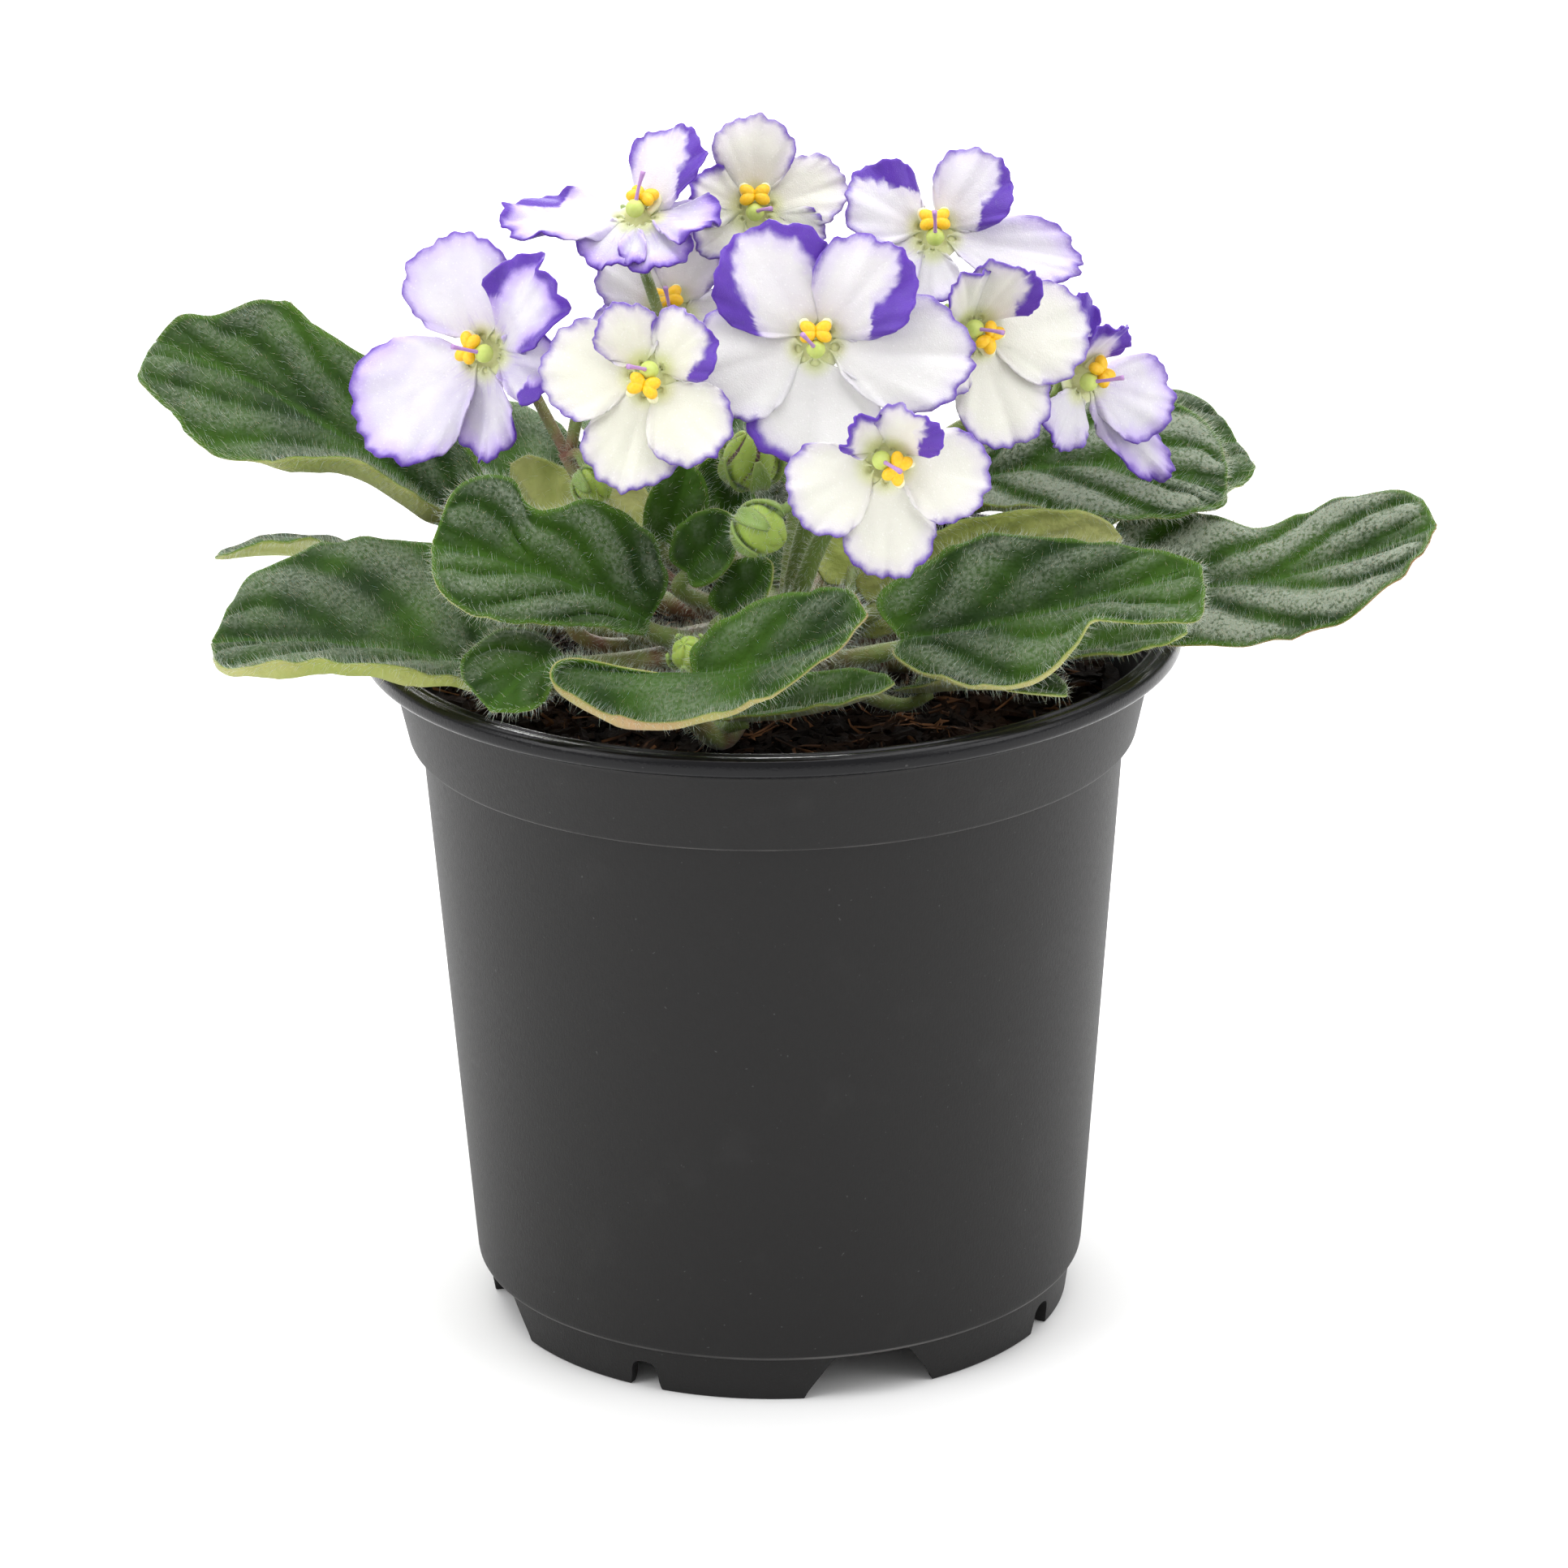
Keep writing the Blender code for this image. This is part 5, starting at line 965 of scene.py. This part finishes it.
below_green = mixed(leaf_skin, spread(leaf_skin, noise(leaf_skin, 60, 3.0), 0.35, 0.7),
                    (0.270, 0.315, 0.075, 1), (0.420, 0.430, 0.165, 1))
flush = arithmetic(leaf_skin, "MULTIPLY", field(leaf_skin, "flush"), noise(leaf_skin, 48, 4.0))
below_green = mixed(leaf_skin, spread(leaf_skin, flush, 0.22, 0.5), below_green, (0.42, 0.20, 0.13, 1))
leaf_colour = mixed(leaf_skin, field(leaf_skin, "under"), leaf_green, below_green)
cells = skin_cells(leaf_skin, 1050.0).outputs["Distance"]
leaf_relief = relief(leaf_skin, cells, 0.00022, 0.55)
finish_with(leaf_skin, Base_Color=leaf_colour, Normal=relief(leaf_skin, down, 0.00025, 0.5, leaf_relief))

# How pink each shown leaf is below, and how strong its painted silvery sheen is above
SKINS = {"leaf_01": (0.3, 0.45), "leaf_02": (0.45, 0.6), "leaf_03": (0.3, 0.6), "leaf_04": (0.2, 0.3),
         "leaf_05": (0.7, 0.4), "leaf_06": (0.6, 0.55), "leaf_07": (0.7, 2.0), "leaf_08": (0.3, 2.2)}
blades = {}
for number, (name, leaf) in enumerate(LEAVES.items()):
    size = (64, 22) if name in SHOWN_LEAVES else (34, 12)
    blade = joined(name + "_blade", [leaf_blade(leaf, *size, 100 + number, *SKINS.get(name, (0.2, 0.4)),
                                                TURNED_RIMS.get(name, NO_TURNED_RIM))], [leaf_skin])
    blades[name] = blade
    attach(blade, "root")
    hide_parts(name)

# The hairs of leaves and stalks.
# Short silky white hairs stand on both faces of every leaf, closest along its edge, and on the
# stalks, calyxes and buds. Each is a thin three-sided spike that one tree grows on the skin.
hair_tree, hair_in, hair_out = new_tree("hair_growth", {
    "Per square metre": "Float", "Thickness": "Float", "Shortest": "Float", "Longest": "Float", "Spread": "Float",
    "Lean": "Vector", "Seed": "Int", "Finish": "Material"})
thickly = add_node(hair_tree, "GeometryNodeInputNamedAttribute", {"Name": "hairiness"}, data_type="FLOAT")
crowding = add_node(hair_tree, "ShaderNodeMath", {0: hair_in.outputs["Per square metre"], 1: thickly.outputs[0]},
                     operation="MULTIPLY")
roots = add_node(hair_tree, "GeometryNodeDistributePointsOnFaces", {
    "Mesh": hair_in.outputs["Geometry"], "Density": crowding.outputs[0], "Seed": hair_in.outputs["Seed"]})
spike = add_node(hair_tree, "GeometryNodeMeshCone", {
    "Vertices": 3, "Radius Top": 0.0, "Radius Bottom": 1.0, "Depth": 1.0}, fill_type="NGON")
stray = add_node(hair_tree, "FunctionNodeRandomValue", {"Min": (-1, -1, -1), "Max": (1, 1, 1), "Seed": 4},
                  data_type="FLOAT_VECTOR")
strayed = vector_step(hair_tree, "SCALE", stray.outputs[0], hair_in.outputs["Spread"])
leaning = vector_step(hair_tree, "ADD", roots.outputs["Normal"], strayed)
leaning = vector_step(hair_tree, "ADD", leaning, hair_in.outputs["Lean"])
aimed = add_node(hair_tree, "FunctionNodeAlignRotationToVector", {"Vector": leaning}, axis="Z")
long = add_node(hair_tree, "FunctionNodeRandomValue", {
    2: hair_in.outputs["Shortest"], 3: hair_in.outputs["Longest"], "Seed": 9}, data_type="FLOAT")
hair_size = add_node(hair_tree, "ShaderNodeCombineXYZ", {
    "X": hair_in.outputs["Thickness"], "Y": hair_in.outputs["Thickness"], "Z": long.outputs[1]})
standing = add_node(hair_tree, "GeometryNodeInstanceOnPoints", {
    "Points": roots.outputs["Points"], "Instance": spike.outputs["Mesh"], "Rotation": aimed.outputs[0],
    "Scale": hair_size.outputs[0]})
rooted = add_node(hair_tree, "GeometryNodeRealizeInstances", {"Geometry": standing.outputs[0]})
whitened = add_node(hair_tree, "GeometryNodeSetMaterial", {
    "Geometry": rooted.outputs[0], "Material": hair_in.outputs["Finish"]})
hair_tree.links.new(whitened.outputs[0], hair_out.inputs[0])

silk = new_material("silk_hair", Roughness=0.35, Subsurface_Weight=0.3, Subsurface_Scale=0.0005,
                    Transmission_Weight=0.35, Specular_IOR_Level=0.6)
finish_with(silk, Base_Color=mixed(silk, noise(silk, 240, 2.0), (0.36, 0.43, 0.27, 1), (0.85, 0.88, 0.80, 1)))


def set_hairiness(piece, values):
    layer = piece.data.attributes.new("hairiness", "FLOAT", "POINT")
    layer.data.foreach_set("value", np.asarray(values, np.float32))


def read_field(piece, key):
    values = np.zeros(len(piece.data.vertices), np.float32)
    piece.data.attributes[key].data.foreach_get("value", values)
    return values


for number, (name, blade) in enumerate(blades.items()):
    margin, under = read_field(blade, "margin"), read_field(blade, "under")
    fringe = np.clip(1 - margin / 0.9, 0, 1)
    sheen_crests = np.clip(read_field(blade, "silver"), 0, 1) * (1 - under)
    set_hairiness(blade, 0.30 - 0.18 * under + 1.1 * sheen_crests + 3.4 * fringe)
    leaf = LEAVES[name]
    heading = unit(np.array(leaf["tip"], float) - np.array(leaf["base"], float)) * 0.35
    down_piece = grown(name + "_hairs", blade.data, hair_tree, {
        "Per square metre": 2.3e6 if name in SHOWN_LEAVES else 1.4e6, "Thickness": 0.000024, "Shortest": 0.0007,
        "Longest": 0.0021, "Spread": 0.38, "Lean": tuple(heading), "Seed": 50 + number, "Finish": silk})
    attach(down_piece, "root")
high = np.zeros(len(crown_and_stalks.data.vertices) * 3, np.float32)
crown_and_stalks.data.vertices.foreach_get("co", high)
above_soil = np.clip((high[2::3] - 0.1) / 0.004, 0, 1)
set_hairiness(crown_and_stalks, above_soil * (1 - 0.35 * read_field(crown_and_stalks, "bud")))
stalk_hairs = grown("stalk_hairs", crown_and_stalks.data, hair_tree, {
    "Per square metre": 2.6e6, "Thickness": 0.000024, "Shortest": 0.0007, "Longest": 0.0018, "Spread": 0.45,
    "Lean": (0.0, 0.0, 0.1), "Seed": 30, "Finish": silk})
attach(stalk_hairs, "root")

# The blooms.
# Five thin petals fused round a short tube: white or lilac-white with a purple border that's wavy and frilled, and
# sparkling, because each cell of the skin is a tiny lens. The glossy cells also carry painted glints, white mixed
# into their colour.
PETAL_START = 1.8
THROAT_DEPTH = 2.0
THROAT_LIP = 0.5
# Colours of each bloom: how creamy its white is, then for each petal the width of the purple
# border all round, what the border gains on the left and right, and how much lilac is in the white.
BLOOM_PAINT = {
    "bloom_01": (0.0, [(0.48, 0, 0, 0.5), (0.72, 0, 0, 0.7), (0.72, 0, 0, 0.7),
                       (1.8, 0, 0, 0.9), (0.72, 0, 2.55, 0.9)]),
    "bloom_02": (1.0, [(0.48, 0, 0, 0), (0.54, 0, 0, 0), (0.54, 0, 0, 0), (0.48, 0, 0, 0), (0.48, 0, 2.12, 0)]),
    "bloom_03": (0.3, [(0.48, 3.4, 2.55, 0.2), (0.6, 0, 3.82, 0.2), (0.54, 0, 0, 0),
                       (0.54, 0, 0, 0), (0.6, 0, 1.27, 0)]),
    "bloom_04": (0.8, [(0.48, 0, 0, 0), (0.6, 0, 0, 0), (0.54, 0, 0, 0), (0.48, 0, 2.98, 0), (1.2, 0, 0, 0)]),
    "bloom_05": (0.8, [(0.48, 0, 0, 0), (0.54, 0, 0, 0), (0.6, 0, 1.7, 0), (0.6, 0, 0, 0), (0.54, 0, 0, 0)]),
    "bloom_06": (0.0, [(0.6, 0, 0, 0.6), (0.72, 0, 0, 0.8), (0.6, 0, 0, 0.2), (2.4, 0, 0, 0.2), (1.8, 0, 0, 0.2)]),
    "bloom_07": (0.0, [(0.48, 0, 3.4, 0), (0.48, 0, 2.98, 0), (0.6, 0, 0, 0.4), (0.6, 0, 0, 0.6), (0.6, 0, 0, 0)]),
    "bloom_08": (0.9, [(0.48, 0, 0, 0), (0.42, 0, 0, 0), (0.9, 0, 0, 0), (0.6, 0, 0, 0), (0.6, 0, 0, 0)]),
    "bloom_09": (0.0, [(0.72, 0, 2.55, 0.2), (0.72, 0, 3.4, 0.7), (0.9, 0, 0, 0.9),
                       (0.72, 0, 0, 0.9), (0.72, 0, 0, 0.9)]),
    "bloom_10": (0.2, [(0.48, 0, 0, 0), (0.48, 0, 0, 0), (0.6, 0, 0, 0.2), (0.6, 0, 0, 0.2), (1.8, 0, 0, 0.4)]),
}


def petal_level(angle):
    """Neighbouring petals lie in layers: the upper two in front, the lowest behind."""
    angle = (angle + 180) % 360 - 180
    if abs(angle) <= 60:
        return 1.5 if angle < 0 else 2.7
    return 0.2 if abs(angle) <= 140 else -1.1


def petal_sheet(bloom, petal, paint, cream, seed):
    """One petal as a closed sheet, from the throat out to its frilled edge."""
    rows, columns = 20, 61
    angle, length, width, lift, curl, cup, twist, ruffle = petal
    grain = np.random.default_rng(seed)
    facing = bloom_frame(bloom["face"])[2]
    outward, across = in_plane(bloom, angle)
    s = (np.linspace(0.05, 1.0, rows) ** 0.85)[:, None] * np.ones((1, columns))
    t = np.linspace(-1.0, 1.0, columns)[None] * np.ones((rows, 1))
    turns = grain.uniform(0, 2 * math.pi, 4)
    nibble = 0.020 * s ** 4 * (np.sin(t * 17 + turns[0] + 2.5 * np.sin(t * 5 + turns[2]))
                               + 0.7 * np.sin(t * 47 + turns[1]))
    reach = 0.5 + 0.5 * np.cos(t * math.radians(140))
    along = length * reach * s * (1 + nibble)
    half = np.minimum(width / 2 * np.sin(math.pi * reach ** 1.22) ** 0.55, 1.4 * (PETAL_START + length * reach))
    sideways = np.sign(t) * half * s * (1 + nibble)
    phase = math.radians(angle * 3.1 + bloom["face"][0] * 1.7)
    frill = ruffle * s ** 3 * (np.sin(t * 9.5 + phase) + 0.45 * np.sin(t * 21.0 + 2.3 * phase))
    frill += 0.20 * s ** 7 * (np.sin(t * 38 + turns[2]) + 0.6 * np.sin(t * 61 + turns[3]))
    frill -= 0.35 * np.exp(-(sideways / 1.1) ** 2) * np.sin(math.pi * np.clip(s, 0, 1)) * np.clip(ruffle, 0, 1)
    height = frill + math.tan(math.radians(cup)) * (sideways / (width / 2)) ** 2 * width * 0.25
    lift, curl, twist = math.radians(lift), math.radians(curl), math.radians(twist)
    bend = (curl if abs(curl) > 1e-4 else 1e-4) / length
    heading = lift + bend * along
    turn = twist * np.clip(along / length, 0, 1)
    side = sideways * np.cos(turn) - height * np.sin(turn)
    off = sideways * np.sin(turn) + height * np.cos(turn)
    run = PETAL_START + (np.sin(heading) - math.sin(lift)) / bend - off * np.sin(heading)
    climb = (math.cos(lift) - np.cos(heading)) / bend + off * np.cos(heading)
    climb = climb + petal_level(angle) * (1 - np.exp(-(along / 4.6) ** 2))
    grid = (np.array(bloom["centre"], float) + run[..., None] * outward + side[..., None] * across
            + climb[..., None] * facing)
    outline = np.stack([along[-1], sideways[-1]], axis=1)
    gaps = np.linalg.norm(np.stack([along, sideways], axis=2)[:, :, None] - outline, axis=3)
    nearest = gaps.argmin(axis=2)
    t_out = t[-1][nearest]
    border, gain_left, gain_right, lilac = paint
    fused = 0.12 if petal_level(angle) > 1 else 0.34
    claw = np.clip((reach[-1][nearest] - fused) / 0.22, 0, 1)
    border = border + (gain_left * np.clip(-t_out / 0.45, 0, 1) + gain_right * np.clip(t_out / 0.45, 0, 1)) * claw
    thickness = 0.28 + 0.30 * (1 - s)
    return sheet(grid, thickness, {
        "rim": gaps.min(axis=2), "border": border * claw - 1.2 * (1 - claw), "from_throat": np.hypot(along, sideways),
        "lilac": np.full(s.shape, lilac), "cream": np.full(s.shape, cream), "beside": sideways})


def bloom_place(bloom, points, centre=None):
    """Points of (right, up, facing) from the bloom's centre, placed in the world."""
    axes = np.array(bloom_frame(bloom["face"]))
    middle = np.array(bloom["centre"] if centre is None else centre, float)
    return np.asarray(points, float) @ axes + middle


def throat(bloom):
    """The short cup that the petals are fused to."""
    profile = [(0, -THROAT_DEPTH, 0), (1.65, -THROAT_DEPTH, 0.3), (2.7, -0.9, 0.4), (3.8, -0.4, 0.1),
               (3.8, -0.15, 0.1), (2.4, 0.05, 0.3), (1.2, -1.1, 0.4), (0, -1.1, 0)][::-1]
    points, faces = turned_shell(rounded(profile, 3), 28)
    count = len(points)
    return {"points": bloom_place(bloom, points), "faces": faces,
            "fields": {"rim": np.full(count, 9.0), "border": np.full(count, 0.5), "cream": np.full(count, 0.5),
                       "from_throat": np.clip(np.hypot(points[:, 0], points[:, 1]) - PETAL_START, 0, None)}}


petal_skin = new_material("petal_skin", Roughness=0.42, Subsurface_Weight=0.22, Subsurface_Scale=0.0012,
                          Sheen_Weight=0.12, Sheen_Roughness=0.4, Specular_IOR_Level=0.45)
petal_skin.node_tree.nodes["Principled BSDF"].inputs["Subsurface Radius"].default_value = (1.0, 0.8, 1.0)
inside = arithmetic(petal_skin, "SUBTRACT", field(petal_skin, "rim"), field(petal_skin, "border"))
ragged = arithmetic(petal_skin, "ADD", noise(petal_skin, 420, 4.0, roughness=0.65), -0.5)
inside = arithmetic(petal_skin, "MULTIPLY_ADD", ragged, 1.3, inside)
purple_part = spread(petal_skin, inside, -0.80, 0.70, 1.0, 0.0)
fade = spread(petal_skin, inside, -0.2, 2.8, 0.75, 0.0)
white = mixed(petal_skin, field(petal_skin, "cream"), (0.68, 0.665, 0.705, 1), (0.70, 0.695, 0.60, 1))
clouds = spread(petal_skin, noise(petal_skin, 130, 4.0), 0.3, 0.75)
lilac_share = arithmetic(petal_skin, "MULTIPLY", field(petal_skin, "lilac"), clouds)
petal_colour = mixed(petal_skin, lilac_share, white, (0.50, 0.455, 0.63, 1))
lilac_edge = arithmetic(petal_skin, "MULTIPLY_ADD", field(petal_skin, "lilac"), 0.8, 0.25)
lilac_fade = arithmetic(petal_skin, "MULTIPLY", fade, lilac_edge)
petal_colour = mixed(petal_skin, lilac_fade, petal_colour, (0.42, 0.27, 0.78, 1))
streak_place = add_node(petal_skin, "ShaderNodeCombineXYZ", {"X": field(petal_skin, "beside"),
                        "Y": arithmetic(petal_skin, "MULTIPLY", field(petal_skin, "from_throat"), 0.12)}).outputs[0]
streaks = spread(petal_skin, noise(petal_skin, 1.7, 3.0, streak_place), 0.5, 0.72, 0.0, 0.55)
near_throat = spread(petal_skin, field(petal_skin, "from_throat"), 2.0, 8.0, 1.0, 0.0)
streaks = arithmetic(petal_skin, "MULTIPLY", streaks, near_throat)
streaks = arithmetic(petal_skin, "MULTIPLY", streaks, field(petal_skin, "lilac"))
petal_colour = mixed(petal_skin, streaks, petal_colour, (0.30, 0.15, 0.62, 1))
deep_purple = mixed(petal_skin, noise(petal_skin, 300, 3.0), (0.060, 0.014, 0.27, 1), (0.125, 0.040, 0.46, 1))
petal_colour = mixed(petal_skin, purple_part, petal_colour, deep_purple)
throat_green = spread(petal_skin, field(petal_skin, "from_throat"), 0.8, 3.4, 0.75, 0.0)
petal_colour = mixed(petal_skin, throat_green, petal_colour, (0.62, 0.66, 0.26, 1))
petal_cells = skin_cells(petal_skin, 5400.0)
cell_number = add_node(petal_skin, "ShaderNodeSeparateColor", {0: petal_cells.outputs["Color"]}).outputs[0]
glint = spread(petal_skin, cell_number, 0.955, 0.99)
crumple = relief(petal_skin, noise(petal_skin, 330, 3.0), 0.0004, 0.5)
petal_normal = relief(petal_skin, petal_cells.outputs["Distance"], 0.00008, 0.5, crumple)
petal_roughness = add_node(petal_skin, "ShaderNodeMix", {0: glint, 2: 0.45, 3: 0.12}).outputs[0]
# Painted glints: white mixed into the colour on the glinting cells stands in for light that the cells throw back.
painted_glint_share = arithmetic(petal_skin, "MULTIPLY", glint, spread(petal_skin, inside, -0.3, 0.9, 0.04, 0.3))
petal_colour = mixed(petal_skin, painted_glint_share, petal_colour, (1, 1, 1, 1))
finish_with(petal_skin, Base_Color=petal_colour, Roughness=petal_roughness, Normal=petal_normal)

for number, (name, bloom) in enumerate(BLOOMS.items()):
    cream, petal_paint = BLOOM_PAINT[name]
    parts = [petal_sheet(bloom, petal, petal_paint[k], cream, 300 + 7 * number + k)
             for k, petal in enumerate(bloom["petals"])]
    corolla = joined(name + "_corolla", parts + [throat(bloom)], [petal_skin])
    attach(corolla, "root")
    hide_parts(name + "_petals")

# The anthers and pistils.
# In each throat two filaments bend up to a pair of bright yellow pollen sacs that touch, and
# beside them stands the round green ovary with its thin mauve style.
ANTHER_SPREAD = 0.95
OVARY_RADIUS = 1.35


def lump(centre, radii, axes, crease=0.0, steps=(12, 18)):
    """An ellipsoid along three axes, with a crease along the first axis if one is asked for."""
    rows, sides = steps
    polar = np.linspace(0.03, math.pi - 0.03, rows)[:, None]
    turn = np.linspace(0, 2 * math.pi, sides, endpoint=False)[None]
    size = 1 - crease * np.exp(-((turn - math.pi / 2) / 0.5) ** 2) * np.sin(polar)
    local = np.stack([np.cos(polar) * radii[0] * np.ones_like(turn), np.sin(polar) * np.cos(turn) * radii[1] * size,
                      np.sin(polar) * np.sin(turn) * radii[2] * size], axis=2).reshape(-1, 3)
    points = local @ np.array(axes) + centre
    faces = tube_faces(rows, sides)
    if np.linalg.det(np.array(axes)) > 0:
        faces = [face[::-1] for face in faces]
    return {"points": points, "faces": faces, "fields": {}}


pollen = new_material("pollen_sac", Roughness=0.4, Subsurface_Weight=0.15, Subsurface_Scale=0.0008)
dusting = noise(pollen, 2600, 3.0)
pollen_colour = mixed(pollen, dusting, (0.86, 0.42, 0.005, 1), (1.0, 0.66, 0.02, 1))
filament_share = field(pollen, "filament")
pollen_colour = mixed(pollen, filament_share, pollen_colour, (0.84, 0.80, 0.52, 1))
finish_with(pollen, Base_Color=pollen_colour, Normal=relief(pollen, dusting, 0.0001, 0.5))
green_skin = new_material("ovary_and_style", Roughness=0.45, Subsurface_Weight=0.1, Subsurface_Scale=0.0008)
pistil_colour = mixed(green_skin, noise(green_skin, 900, 3.0), (0.44, 0.56, 0.09, 1), (0.64, 0.72, 0.22, 1))
style_share = field(green_skin, "style")
pistil_colour = mixed(green_skin, spread(green_skin, style_share, 0.2, 0.6), pistil_colour, (0.46, 0.26, 0.55, 1))
finish_with(green_skin, Base_Color=pistil_colour,
            Normal=relief(green_skin, noise(green_skin, 2400, 2.0), 0.0001, 0.6))
for name, bloom in BLOOMS.items():
    facing = bloom_frame(bloom["face"])[2]
    floor = np.array(bloom["centre"], float) + (THROAT_LIP + 0.3) * facing
    toward, beside = in_plane(bloom, bloom["stamens"])
    heart = floor + 1.6 * toward + 1.8 * facing
    parts = []
    for sign in (-1, 1):
        place = heart + sign * ANTHER_SPREAD * beside + 0.25 * facing
        for end in (-1, 1):
            lobe = place + end * 0.55 * toward + sign * 0.1 * beside
            long_way = unit(beside * 0.8 + end * 0.5 * toward * sign)
            axes = (long_way, unit(np.cross(facing, long_way)), facing)
            parts.append(lump(lobe, (1.25, 0.92, 1.0), axes, 0.12))
        route = [floor + 1.2 * toward + sign * 0.9 * beside - 0.6 * facing,
                 floor + 2.9 * toward + sign * 1.75 * beside + 0.7 * facing,
                 floor + 2.9 * toward + sign * 1.35 * beside + 1.6 * facing, place - 0.2 * facing + 0.2 * toward]
        rod = stalk(route, [0.5, 0.62, 0.5], 14, 10, ribs=0.0)
        rod["fields"] = {"filament": np.ones(len(rod["points"]))}
        parts.append(rod)
    anthers = joined(name + "_pollen_sacs", parts, [pollen])
    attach(anthers, "root")
    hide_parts(name + "_anthers")

    ovary = floor - 0.75 * toward + OVARY_RADIUS * 0.92 * facing
    ball = lump(ovary, (OVARY_RADIUS,) * 3, (toward, np.cross(facing, toward), facing))
    lean, _ = in_plane(bloom, bloom["style"])
    style_tip = ovary + 5.5 * unit(0.45 * lean + 0.9 * facing)
    style = stalk([ovary, (ovary + style_tip) / 2 + 0.5 * facing, style_tip], [0.42, 0.26, 0.26, 0.40], 14, 8,
                  ribs=0.0)
    style["fields"] = {"style": np.ones(len(style["points"]))}
    pistil = joined(name + "_ovary_and_style", [ball, style], [green_skin])
    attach(pistil, "root")
    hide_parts(name + "_pistil")
